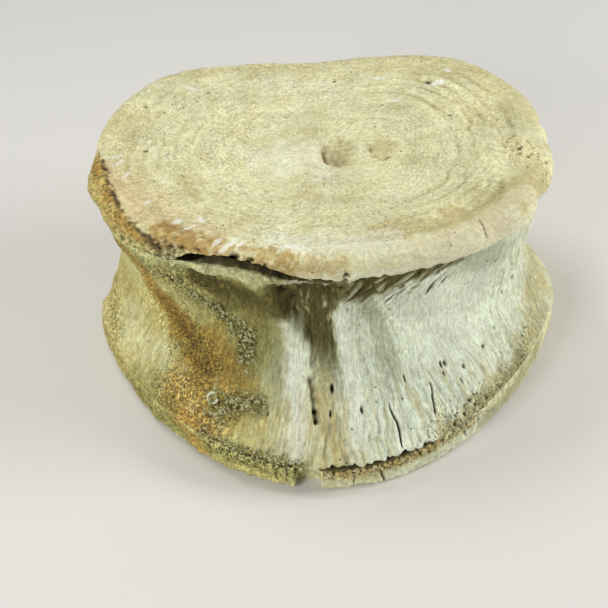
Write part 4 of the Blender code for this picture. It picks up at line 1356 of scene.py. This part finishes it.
# ---------------------------------------------------------------- the lower disc
# splits down the lower rim: half width, then bearing and height of each point
RIM_SPLITS = (
    (0.6, ((9.3, 14.5), (9.8, 8.0), (10.6, 1.0))),
    (0.45, ((3.6, 12.0), (3.3, 3.0))),
    (0.45, ((-14.5, 11.0), (-13.5, 4.0))),
    (0.4, ((32.0, 13.0), (33.0, 6.0))),
)
# stains of the lower rim, and painted shade on its right, as on the wall
BASE_PATCHES = (
    (STAINED, 0.80, 16.0, 5.0, ((-95, 10), (-75, 10), (-50, 12))),  # stained left rim
    (ALGAE, 0.55, 6.0, 4.0, ((-62, 8), (-45, 8), (-36, 7))),  # algae rim
    (STAINED, 0.60, 4.0, 2.5, ((-34, 3), (-24, 3), (-12, 4))),  # pale lower rim
    (ALGAE, 0.60, 3.6, 3.0, ((-56, 15), (-40, 12), (-20, 12), (-9, 11))),  # algae upper
    (GREY_ROT, 0.70, 4.5, 3.0, ((-55, 15), (-48, 13))),  # pale grains
    (RUST, 0.50, 4.5, 3.0, ((-43, 17), (-38, 11), (-35, 5))),  # rust stain
    (STAINED, 0.80, 3.8, 2.0, ((-4, 13), (8, 12), (22, 15), (34, 16))),  # tan crumbs
    (OCHRE, 0.45, 2.2, 1.5, ((0, 13), (12, 13.5), (24, 16))),  # brown crumbs
    (BONE_PALE, 0.55, 6.0, 2.5, ((14, 4), (30, 6), (44, 7))),  # pale right rim
    (SHADE, 0.45, 6.0, 4.0, ((42, 8), (54, 9), (66, 10))),  # shaded right rim
    (BONE_CREAM, 0.75, 4.0, 3.0, ((-22, 2), (-12, 3))),  # cream chip
    (BONE_TAN, 0.45, 40.0, 10.0, ((100, 8), (180, 8), (260, 8))),  # tan far
)


def notch_mask(points):
    """1 inside the square notch broken out of the lower rim, with a crumbled edge."""
    angle = np.radians(NOTCH_BEARING)
    across = points[:, 0] * np.cos(angle) + points[:, 1] * np.sin(angle)
    across += 0.7 * noise(points, 3.0, 201, 2)
    edge = NOTCH_WIDTH / 2.0
    return smooth_step(edge + 0.5, edge - 0.5, np.abs(across)) * (points[:, 1] < 0.0)


def base_profile(bearing):
    """Rings from the edge of the flat resting ring up to the lower seam's edge."""
    rim = base_radius(bearing) + 0.6 * jitter(bearing, 30.0, 202) + 0.3 * jitter(bearing, 6.0, 203)
    lower, _ = low_lips(bearing)
    rings = []
    for turn in arc(10)[1:]:
        inward = BASE_RIM_ROUND * (1.0 - np.sin(turn))
        rings.append(ring(bearing, rim - inward, BASE_RIM_ROUND * (1.0 - np.cos(turn))))
    for share in np.linspace(0.0, 1.0, 17)[1:]:
        height = BASE_RIM_ROUND + (lower - BASE_RIM_ROUND) * share
        inward = BASE_LEDGE * smooth_step(0.75, 1.0, share)
        rings.append(ring(bearing, rim - inward, height))
    return rings


def notched(points):
    """Draws the points of a ring in where the notch is."""
    rim = out_from_axis(points)
    inner = base_radius(np.degrees(np.arctan2(points[:, 0], -points[:, 1]))) - NOTCH_DEPTH
    deep = notch_mask(points) * np.maximum(rim - inner, 0.0)
    return points * np.stack([1.0 - deep / rim, 1.0 - deep / rim, np.ones(len(points))], axis=1)


def base_loops():
    """Rings of the lower disc from under its middle out, up its rim and in to the closed seam."""
    profile = base_profile(BEARINGS)
    flat_edge = ring(BEARINGS, out_from_axis(profile[0]) - 0.6, 0.0)
    loops = []
    for share in np.linspace(0.0, 1.0, 30)[1:-1]:
        points = toward(flat_edge, np.zeros(3), share)
        points[:, 2] = UNDER_DISH_DEPTH * smooth_step(REST_RING_INNER, 0.2, share)
        loops.append(thinned(points, share))
    profile = [notched(points) for points in [flat_edge] + profile]
    edge = profile[-1]
    roof = low_seam(BEARINGS) - 0.5 * CLOSED_GAP
    inner = mouth_rings(out_from_axis(edge), edge[:, 2], roof, SEAM_MOUTH)
    return loops + profile + inner, sum(len(loop) for loop in loops)


def make_base(material):
    """The skin of the lower disc: its stained rim, the crumbly seam above it and its underside."""
    loops, under = base_loops()
    skin = Skin("base_disc_skin", loops, on_axis(UNDER_DISH_DEPTH),
                on_axis(LOW_SEAM_FOOT - 0.5 * CLOSED_GAP), BONE_CREAM)
    points, bearing, height = skin.points, skin.bearing, skin.height
    inside = np.zeros(len(points))
    inside[-len(SEAM_MOUTH) * COLUMNS - 2:-2] = mouth_shade(SEAM_MOUTH)
    inside[-1] = 1.0
    side = np.zeros(len(points))
    side[under + COLUMNS:-2] = 1.0
    side *= smooth_step(0.0, 2.0, height) * smooth_step(0.5, 0.0, inside)
    below = np.zeros(len(points))
    below[:under] = 1.0
    dish = below * smooth_step(0.3, 1.5, height)
    rim_height = height / low_seam(bearing)
    crumbly = span(bearing, -34.0, 40.0, 6.0) * smooth_step(0.50, 0.72, rim_height) * side
    smooth_rim = span(bearing, 12.0, 74.0, 6.0) * smooth_step(0.72, 0.5, rim_height)
    sponge, chance = cells(points, 2.2, 204)
    skin.porous = np.clip(crumbly + 0.8 * dish, 0.0, 1.0)
    rise = side * (1.0 - 0.7 * smooth_rim)
    rise = rise * (0.8 * noise(points, 14.0, 205, 2) + 0.5 * noise(points, 4.0, 206, 2))
    rise += side * 0.2 * noise(points, 2.0, 207) + crumbly * 0.9 * noise(points, 3.4, 213, 2)
    rise += dish * (0.5 * noise(points, 12.0, 208, 2) + 0.3 * noise(points, 3.0, 209, 2))
    hole = smooth_step(0.46, 0.2, sponge) * (chance > 0.4)
    rise -= 1.2 * crumbly * hole + 0.8 * dish * hole
    splits = np.zeros(len(points))
    for half_width, path in RIM_SPLITS:
        line = np.array([edge_point(base_radius, *place) for place in path])
        splits = np.maximum(splits, split_depth(points, line, half_width))
    skin.rise = rise - 1.8 * splits * side
    skin.crust = 0.8 * crumbly * span(bearing, -16.0, 30.0, 4.0)
    skin.crust = skin.crust * patchy(points, -0.3, 0.4, 5.0, 214, 2)
    left = span(bearing, -110.0, -8.0, 6.0)
    skin.grit = np.clip(0.12 + 0.5 * left + 0.5 * crumbly + 0.3 * below, 0.0, 1.0)
    skin.lie = flat_ring(bearing, height / BASE_GRAIN)
    stain(skin, BASE_PATCHES, 400)
    skin.paint(DIRT_AND_SHADE, 0.45 * left * side * patchy(points, 0.1, 0.6, 3.4, 215, 3))
    skin.paint(BONE_TAN, 0.6 * below)
    skin.paint(DIRT_AND_SHADE, 0.55 * below * patchy(points, -0.1, 0.6, 18.0, 210, 3))
    # dirt and painted shade in the crumbly holes
    skin.paint(DIRT_AND_SHADE, 0.5 * crumbly * hole)
    skin.yellow(left * side)
    skin.shade(1.0 + 0.08 * noise(points, 20.0, 211, 2) + 0.08 * noise(points, 3.0, 212, 2))
    # painted shade in the hollows of the relief and painted highlight on its crests
    skin.shade_relief(0.5, 0.16)
    # painted shade in the rim's splits, and in the seam's mouth, darker the deeper in
    skin.paint(CRACK_SHADOW, 0.85 * splits * side)
    skin.paint(DIRT_AND_SHADE, smooth_step(0.0, 0.4, inside))
    skin.paint(CRACK_SHADOW, 0.9 * smooth_step(0.3, 1.0, inside))
    return skin.finish(material, "base_bone", "epiphysis_bottom")


# ---------------------------------------------------------------- stumps of the broken arch
STUMP_COLUMNS = 168
STUMP_RINGS = 44
STUMP_SQUARENESS = 0.75
# how deep the foot is sunk in the wall, its size there as a share, and the share that marks what
# is buried out of sight
STUMP_SINK = 2.0
STUMP_SKIRT = 1.12
STUMP_BURIED = 1.5


def make_stump(name, side, material):
    """The broken foot of one half of the arch: a swollen base with a snapped spongy top."""
    turn = np.linspace(0.0, 2.0 * np.pi, STUMP_COLUMNS, endpoint=False) * side
    across, along = (np.sign(wave) * np.abs(wave) ** STUMP_SQUARENESS
                     for wave in (np.sin(turn), np.cos(turn)))
    middle = (STUMP_FOOT + STUMP_HEAD) / 2.0
    half_height = (STUMP_HEAD - STUMP_FOOT) / 2.0
    seed = 500 if side > 0 else 520
    around = np.stack([30 * np.cos(turn), 30 * np.sin(turn), 0 * turn], axis=1)
    uneven = 1.0 + 0.05 * noise(around, 14.0, seed, 2)
    shares = np.linspace(STUMP_SKIRT, 0.0, STUMP_RINGS, endpoint=False)

    def place(share, rise):
        """A ring of this share of the stump's size, raised over the wall."""
        bearing = side * STUMP_BEARING + share * uneven * STUMP_HALF_ANGLE * across
        height = middle + share * uneven * half_height * along
        return ring(bearing, wall_radius(bearing, height) + rise, height)

    loops = [place(share, -STUMP_SINK - 1.5) for share in (0.4, 0.8)]
    for share in shares:
        climb = smooth_step(STUMP_SKIRT, 0.72, share)
        loops.append(place(share, -STUMP_SINK + (STUMP_RISE + STUMP_SINK) * climb))
    foot, head = place(0.0, -STUMP_SINK - 1.5)[0], place(0.0, STUMP_RISE)[0]
    skin = Skin(name + "_skin", loops, foot, head, BONE_TAN)
    points = skin.points
    share = np.concatenate([np.full(2 * STUMP_COLUMNS, STUMP_BURIED),
                            np.repeat(shares, STUMP_COLUMNS), [STUMP_BURIED, 0.0]])
    top = smooth_step(0.84, 0.72, share)
    shown = (share < STUMP_BURIED).astype(float)
    sponge, chance = cells(points, 2.6, seed + 5)
    rise = 0.8 * noise(points, 12.0, seed + 6, 2) + top * (1.3 * noise(points, 7.0, seed + 7, 3))
    rise += 0.25 * noise(points, 2.4, seed + 8, 2)
    rise -= top * 2.0 * smooth_step(0.45, 0.18, sponge) * (chance > 0.3)
    skin.rise = rise * shown * smooth_step(STUMP_SKIRT, 0.95, share)
    skin.porous = top
    skin.lie = flat_ring(skin.bearing, skin.height / STUMP_GRAIN)
    skin.paint(BONE_PALE, smooth_step(0.8, 0.95, share) * 0.7)
    skin.paint(DIRT_AND_SHADE, 0.5 * top * smooth_step(-0.2, 0.5, noise(points, 9.0, seed + 9, 3)))
    skin.shade(1.0 + 0.1 * noise(points, 3.0, seed + 10, 2))
    # painted shade in the hollows of the relief and painted highlight on its crests
    skin.shade_relief(0.55, 0.18)
    return skin.finish(material, "broken_bone", name)


# ---------------------------------------------------------------- materials
BONE_IOR = 1.55
SPONGE_SPACING = 1.6


def node(tree, kind, links=(), **settings):
    """Adds a node with its settings; links pair an input's name or number with a socket or value."""
    made = tree.nodes.new(kind)
    for key, value in settings.items():
        setattr(made, key, value)
    for key, value in dict(links).items():
        if isinstance(value, bpy.types.NodeSocket):
            tree.links.new(value, made.inputs[key])
        else:
            made.inputs[key].default_value = value
    return made


def per_mm(size):
    """A texture scale for Object coordinates whose features are so many millimetres apart."""
    return 1.0 / (size * MM)


def rgba(code):
    """A hex colour as a linear colour value."""
    return (*linear(srgb(code)), 1.0)


def reckon(tree, operation, *values):
    """The result of a sum on sockets or values."""
    return node(tree, "ShaderNodeMath", dict(enumerate(values)), operation=operation).outputs[0]


def waves(tree, vector, scale, detail, roughness=0.6):
    """Smooth noise from 0 to 1."""
    return node(tree, "ShaderNodeTexNoise", {
        "Vector": vector, "Scale": scale, "Detail": detail, "Roughness": roughness}).outputs["Fac"]


def ranged(tree, value, from_low, from_high, low, high):
    """A value carried from one range to another, and held inside it."""
    return node(tree, "ShaderNodeMapRange", {
        "Value": value, "From Min": from_low, "From Max": from_high,
        "To Min": low, "To Max": high}).outputs["Result"]


def blended(tree, share, colour, other, blend_type="MIX"):
    """One colour blended with another."""
    return node(tree, "ShaderNodeMix", {0: share, 6: colour, 7: other},
                data_type="RGBA", blend_type=blend_type).outputs[2]


def bumped(tree, layers):
    """The normal under layers of relief: strength, depth in millimetres, height, and whether sunk."""
    normal = {}
    for strength, depth, height, sunk in layers:
        links = {"Strength": strength, "Distance": depth * MM, "Height": height, **normal}
        normal = {"Normal": node(tree, "ShaderNodeBump", links, invert=sunk).outputs[0]}
    return normal["Normal"]


def blank(name):
    """A new material, with its node tree and its shader."""
    material = bpy.data.materials.new(name)
    material.use_nodes = True
    shader = material.node_tree.nodes["Principled BSDF"]
    shader.inputs["Metallic"].default_value = 0.0
    return material, material.node_tree, shader


def bone(name, grain, fibre, strands, pore, roughness, relief, speck, drawn_out=False):
    """Weathered bone: painted tint, chalky grain, fibres along the lie, grit and open pores.

    Dry bone is matt mineral in a web of fibres. Grain, fibre, pore and speck are spacings in
    millimetres, strands is the contrast of the fibres and relief the depth of the grain. The
    grit attribute says how strongly dirt shows between the grains; the specks of grit are
    round, or drawn out along the lie.
    """
    material, tree, shader = blank(name)
    place = node(tree, "ShaderNodeTexCoord").outputs["Object"]
    lie, tint, porous, grit = (
        node(tree, "ShaderNodeAttribute", attribute_name=carried).outputs[output]
        for carried, output in (("lie", "Vector"), ("tint", "Color"), ("porous", "Fac"), ("grit", "Fac")))

    def holes(spacing, edge, core, chosen):
        """Round holes, about one spacing apart, in the cells whose chance is above the chosen."""
        cell = node(tree, "ShaderNodeTexVoronoi", {"Vector": place, "Scale": per_mm(spacing)})
        chance = node(tree, "ShaderNodeSeparateColor", {"Color": cell.outputs["Color"]}).outputs["Red"]
        deep = ranged(tree, cell.outputs["Distance"], core, edge, 1.0, 0.0)
        kept = ranged(tree, chance, chosen, chosen + 0.04, 0.0, 1.0)
        return reckon(tree, "MULTIPLY", deep, kept)

    grains = waves(tree, place, per_mm(grain), 3.0)
    fibres = waves(tree, lie, 1.0 / fibre, 2.0)
    mottle = waves(tree, place, per_mm(9.0), 4.0)
    specks = waves(tree, lie, 1.0 / speck, 1.0) if drawn_out else waves(tree, place, per_mm(speck), 1.0)
    specks = ranged(tree, specks, 0.38, 0.60, -0.56, 0.40)
    gritty = reckon(tree, "MULTIPLY_ADD", specks, grit, 1.0)
    sponge = reckon(tree, "MULTIPLY", holes(SPONGE_SPACING, 0.40, 0.10, 0.50), porous)
    pores = reckon(tree, "MAXIMUM", sponge, holes(pore, 0.17, 0.09, 0.90))
    colour = tint
    for tone in (
        ranged(tree, grains, 0.38, 0.62, 0.91, 1.08),
        ranged(tree, fibres, 0.38, 0.62, 1.0 - strands, 1.0 + 0.8 * strands),
        ranged(tree, mottle, 0.3, 0.7, 0.95, 1.05),
        gritty,
    ):
        colour = blended(tree, 1.0, colour, tone, "MULTIPLY")
    # the pores painted dark: dirt and painted shade in the holes
    tree.links.new(blended(tree, pores, colour, rgba(DIRT_AND_SHADE)), shader.inputs["Base Color"])
    rough = ranged(tree, grains, 0.0, 1.0, roughness - 0.08, roughness + 0.1)
    tree.links.new(rough, shader.inputs["Roughness"])
    shader.inputs["IOR"].default_value = BONE_IOR
    shader.inputs["Specular IOR Level"].default_value = 0.3
    normal = bumped(tree, (
        (0.8, relief, grains, False), (1.0, 1.6 * relief, fibres, False),
        (0.8, 2.0 * relief, gritty, False), (1.0, 0.6, pores, True)))
    tree.links.new(normal, shader.inputs["Normal"])
    return material


def growth(name, colour, deep, grain, roughness):
    """Something dry that has grown or settled on the bone, with paler tips and darker folds."""
    material, tree, shader = blank(name)
    place = node(tree, "ShaderNodeTexCoord").outputs["Object"]
    grains = waves(tree, place, per_mm(grain), 4.0, 0.65)
    share = ranged(tree, grains, 0.35, 0.65, 0.0, 1.0)
    tree.links.new(blended(tree, share, rgba(deep), rgba(colour)), shader.inputs["Base Color"])
    shader.inputs["Roughness"].default_value = roughness
    tree.links.new(bumped(tree, ((0.8, 0.3, grains, False),)), shader.inputs["Normal"])
    return material


# ---------------------------------------------------------------- crumbs and the worm tube
CRUMB_LUMPS = 1.6
CRUMB_LEAST = (0.5, 0.5, 0.35)
CRUMB_MOST = (1.5, 1.4, 1.0)


def crumb_tree(name, material):
    """Strews lumpy crumbs over a surface, as thick as its crust attribute says."""
    tree = bpy.data.node_groups.new(name, "GeometryNodeTree")
    tree.interface.new_socket("Geometry", in_out="OUTPUT", socket_type="NodeSocketGeometry")
    for label, kind in (("Geometry", "Geometry"), ("Density", "Float"), ("Size", "Float"), ("Seed", "Int")):
        tree.interface.new_socket(label, in_out="INPUT", socket_type="NodeSocket" + kind)
    given = node(tree, "NodeGroupInput").outputs
    crust = node(tree, "GeometryNodeInputNamedAttribute", {"Name": "crust"}, data_type="FLOAT").outputs[0]
    strewn = node(tree, "GeometryNodeDistributePointsOnFaces", {
        "Mesh": given["Geometry"], "Density": reckon(tree, "MULTIPLY", crust, given["Density"]),
        "Seed": given["Seed"]})
    crumb = node(tree, "GeometryNodeMeshIcoSphere", {"Radius": given["Size"], "Subdivisions": 2})
    sizes = node(tree, "FunctionNodeRandomValue", {
        "Min": CRUMB_LEAST, "Max": CRUMB_MOST, "Seed": given["Seed"]}, data_type="FLOAT_VECTOR")
    placed = node(tree, "GeometryNodeInstanceOnPoints", {
        "Points": strewn.outputs["Points"], "Instance": crumb.outputs["Mesh"],
        "Rotation": strewn.outputs["Rotation"], "Scale": sizes.outputs[0]})
    solid = node(tree, "GeometryNodeRealizeInstances", {"Geometry": placed.outputs[0]}).outputs[0]
    lumps = node(tree, "ShaderNodeTexNoise", {"Scale": per_mm(CRUMB_LUMPS), "Detail": 1.0}).outputs["Color"]
    centred = node(tree, "ShaderNodeVectorMath", {0: lumps, 1: (0.5, 0.5, 0.5)}, operation="SUBTRACT")
    push = node(tree, "ShaderNodeVectorMath", {
        0: centred.outputs[0], "Scale": CRUMB_LUMPS * MM}, operation="SCALE").outputs[0]
    lumpy = node(tree, "GeometryNodeSetPosition", {"Geometry": solid, "Offset": push}).outputs[0]
    rounded = node(tree, "GeometryNodeSetShadeSmooth", {"Geometry": lumpy}).outputs[0]
    finished = node(tree, "GeometryNodeSetMaterial", {"Geometry": rounded, "Material": material}).outputs[0]
    node(tree, "NodeGroupOutput", {"Geometry": finished})
    return tree


def as_mesh(name, holder):
    """The finished shape of an object as a plain mesh; the object itself goes."""
    seen = bpy.context.evaluated_depsgraph_get()
    mesh = bpy.data.meshes.new_from_object(holder.evaluated_get(seen))
    bpy.data.objects.remove(holder, do_unlink=True)
    mesh.name = name
    return mesh


def strew(name, skin_piece, material, slot, density, size, seed):
    """Crumbs over a finished skin, as one plain mesh."""
    carrier = put(name + "_carrier", skin_piece.data.copy())
    tree = crumb_tree(name, material)
    sockets = {item.name: item.identifier for item in tree.interface.items_tree if item.in_out == "INPUT"}
    strewing = carrier.modifiers.new(name, "NODES")
    strewing.node_group = tree
    for label, value in (("Density", density), ("Size", size * MM), ("Seed", seed)):
        strewing[sockets[label]] = value
    return add_piece(name, as_mesh(name, carrier), material, slot)


# where the worm tube is stuck, as a bearing and a height, and the curl it makes, in degrees
WORM_TUBE = (-34.7, 30.7)
WORM_TUBE_ARC = (-275.0, 10.0)
WORM_TUBE_RADIUS = 2.9
WORM_TUBE_THICKNESS = 0.75
WORM_TUBE_RAISED = 0.7


def make_worm_tube(material):
    """A white C-shaped lime tube stuck on the left of the wall, lying in the plane of the wall."""
    bearing, height = WORM_TUBE
    anchor = wall_point(bearing, height)
    beside, above = wall_point(bearing + 1.0, height), wall_point(bearing, height + 1.0)
    right = (beside - anchor) / np.linalg.norm(beside - anchor)
    up = above - anchor
    up = up - right * (up @ right)
    up = up / np.linalg.norm(up)
    out = np.cross(right, up)
    curve = bpy.data.curves.new("worm_tube", "CURVE")
    curve.dimensions = "3D"
    curve.bevel_depth = WORM_TUBE_THICKNESS * MM
    curve.bevel_resolution = 3
    curve.use_fill_caps = True
    line = curve.splines.new("POLY")
    turns = np.radians(np.linspace(*WORM_TUBE_ARC, 30))
    line.points.add(len(turns) - 1)
    for point, turn in zip(line.points, turns):
        curl = WORM_TUBE_RADIUS * (np.cos(turn) * right + np.sin(turn) * up)
        spot = anchor + curl + WORM_TUBE_RAISED * out + CENTRE
        point.co = (*(spot * MM), 1.0)
        point.radius = 0.8 + 0.3 * np.sin(1.5 * turn + 1.0)
    mesh = as_mesh("worm_tube", put("worm_tube_line", curve))
    smoothed(mesh)
    return add_piece("worm_tube", mesh, material, "wall_bone")


# ---------------------------------------------------------------- stage, lights and camera
CAMERA = (-12.6, -454.0, 446.0)
CAMERA_PITCH = 46.0
CAMERA_ROLL = -3.3
CAMERA_LENS = 62.17
CAMERA_SENSOR = 36.0
# soft white lamps, in metres and watts: a key from behind on the left, one at the right, and one
# in front on the left
LAMPS = (
    ("key", (-0.389, 0.389, 1.013), 5.0),
    ("right", (0.997, 0.0, 0.525), 8.4),
    ("front left", (-0.705, -0.705, 0.525), 6.4),
)
LAMP_SIZE = 0.5
LAMP_AIM = Vector((0.0, 0.0, 0.06))
SKY_STRENGTH = 0.26
FLOOR_REACH = 6.0


def make_camera():
    """The photo's camera, which looks down on the keel and the upper face."""
    lens = bpy.data.cameras.new("camera")
    lens.lens = CAMERA_LENS
    lens.sensor_width = CAMERA_SENSOR
    lens.dof.use_dof = False
    camera = put("camera", lens)
    pitch = Euler((np.radians(CAMERA_PITCH), 0.0, 0.0)).to_matrix()
    roll = Matrix.Rotation(np.radians(CAMERA_ROLL), 3, "Z")
    camera.rotation_euler = (pitch @ roll).to_euler()
    camera.location = (np.array(CAMERA) + CENTRE) * MM
    bpy.context.scene.camera = camera


def make_lamp(name, place, power):
    """A round soft lamp that shines on the bone."""
    light = bpy.data.lights.new(name, "AREA")
    light.shape = "DISK"
    light.size = LAMP_SIZE
    light.energy = power
    lamp = put(name, light)
    lamp.location = place
    lamp.rotation_euler = (LAMP_AIM - Vector(place)).to_track_quat("-Z", "Y").to_euler()


def make_floor():
    """A wide floor of matt, pale grey paper."""
    material, _, shader = blank("pale_floor")
    shader.inputs["Base Color"].default_value = rgba(FLOOR)
    shader.inputs["Roughness"].default_value = 0.9
    corners = [(FLOOR_REACH * x, FLOOR_REACH * y, 0.0) for x, y in ((-1, -1), (1, -1), (1, 1), (-1, 1))]
    mesh = bpy.data.meshes.new("floor")
    mesh.from_pydata(corners, [], [(0, 1, 2, 3)])
    mesh.materials.append(material)
    put("floor", mesh)


def make_stage():
    """The lamps, and a dim white sky to fill the shadows."""
    scene = bpy.context.scene
    scene.view_settings.view_transform = "Standard"
    world = bpy.data.worlds.new("studio")
    scene.world = world
    world.use_nodes = True
    sky = world.node_tree.nodes["Background"]
    sky.inputs["Color"].default_value = (1.0, 1.0, 1.0, 1.0)
    sky.inputs["Strength"].default_value = SKY_STRENGTH
    for lamp in LAMPS:
        make_lamp(*lamp)


# ---------------------------------------------------------------- making it
make_camera()
# the wall: compact bone, bleached and worn to a matt, chalky, fibrous surface
wall_bone = bone("weathered_compact_bone", grain=1.0, fibre=0.85, strands=0.16, pore=3.4,
                 roughness=0.82, relief=0.22, speck=1.15)
# the upper disc's face: dry, sandy bone that lay under gristle, a little smoother than the wall
face_bone = bone("growth_disc_bone", grain=1.3, fibre=1.1, strands=0.09, pore=3.0,
                 roughness=0.80, relief=0.22, speck=1.05, drawn_out=True)
# the lower rim: coarser matt bone, stained by soil
base_bone = bone("stained_rim_bone", grain=1.1, fibre=1.5, strands=0.10, pore=3.6,
                 roughness=0.85, relief=0.24, speck=1.3)
# the arch's stumps: broken bone, open and spongy, with no sheen left
broken_bone = bone("broken_spongy_bone", grain=1.2, fibre=1.8, strands=0.10, pore=3.0,
                   roughness=0.9, relief=0.35, speck=1.6)
# crusty dried lichen, crumbs of spongy bone and sand, and the white lime of a worm's tube
lichen = growth("dried_lichen", "#CACA9C", "#7E7A48", grain=1.1, roughness=0.95)
crumbs = growth("bone_crumbs", "#D2CCA2", "#9B8F5C", grain=1.2, roughness=0.9)
lime = growth("worm_tube_lime", "#E2E3C8", "#C4C6A0", grain=0.8, roughness=0.8)
wall_piece = make_wall(wall_bone)
make_top(face_bone)
base_piece = make_base(base_bone)
for stump_name, stump_side in (("arch_stump_left", -1.0), ("arch_stump_right", 1.0)):
    make_stump(stump_name, stump_side, broken_bone)
strew("lichen_crumbs", wall_piece, lichen, "wall_bone", density=330000.0, size=0.74, seed=5)
strew("seam_crumbs", base_piece, crumbs, "base_bone", density=170000.0, size=0.90, seed=8)
make_worm_tube(lime)
make_floor()
make_stage()
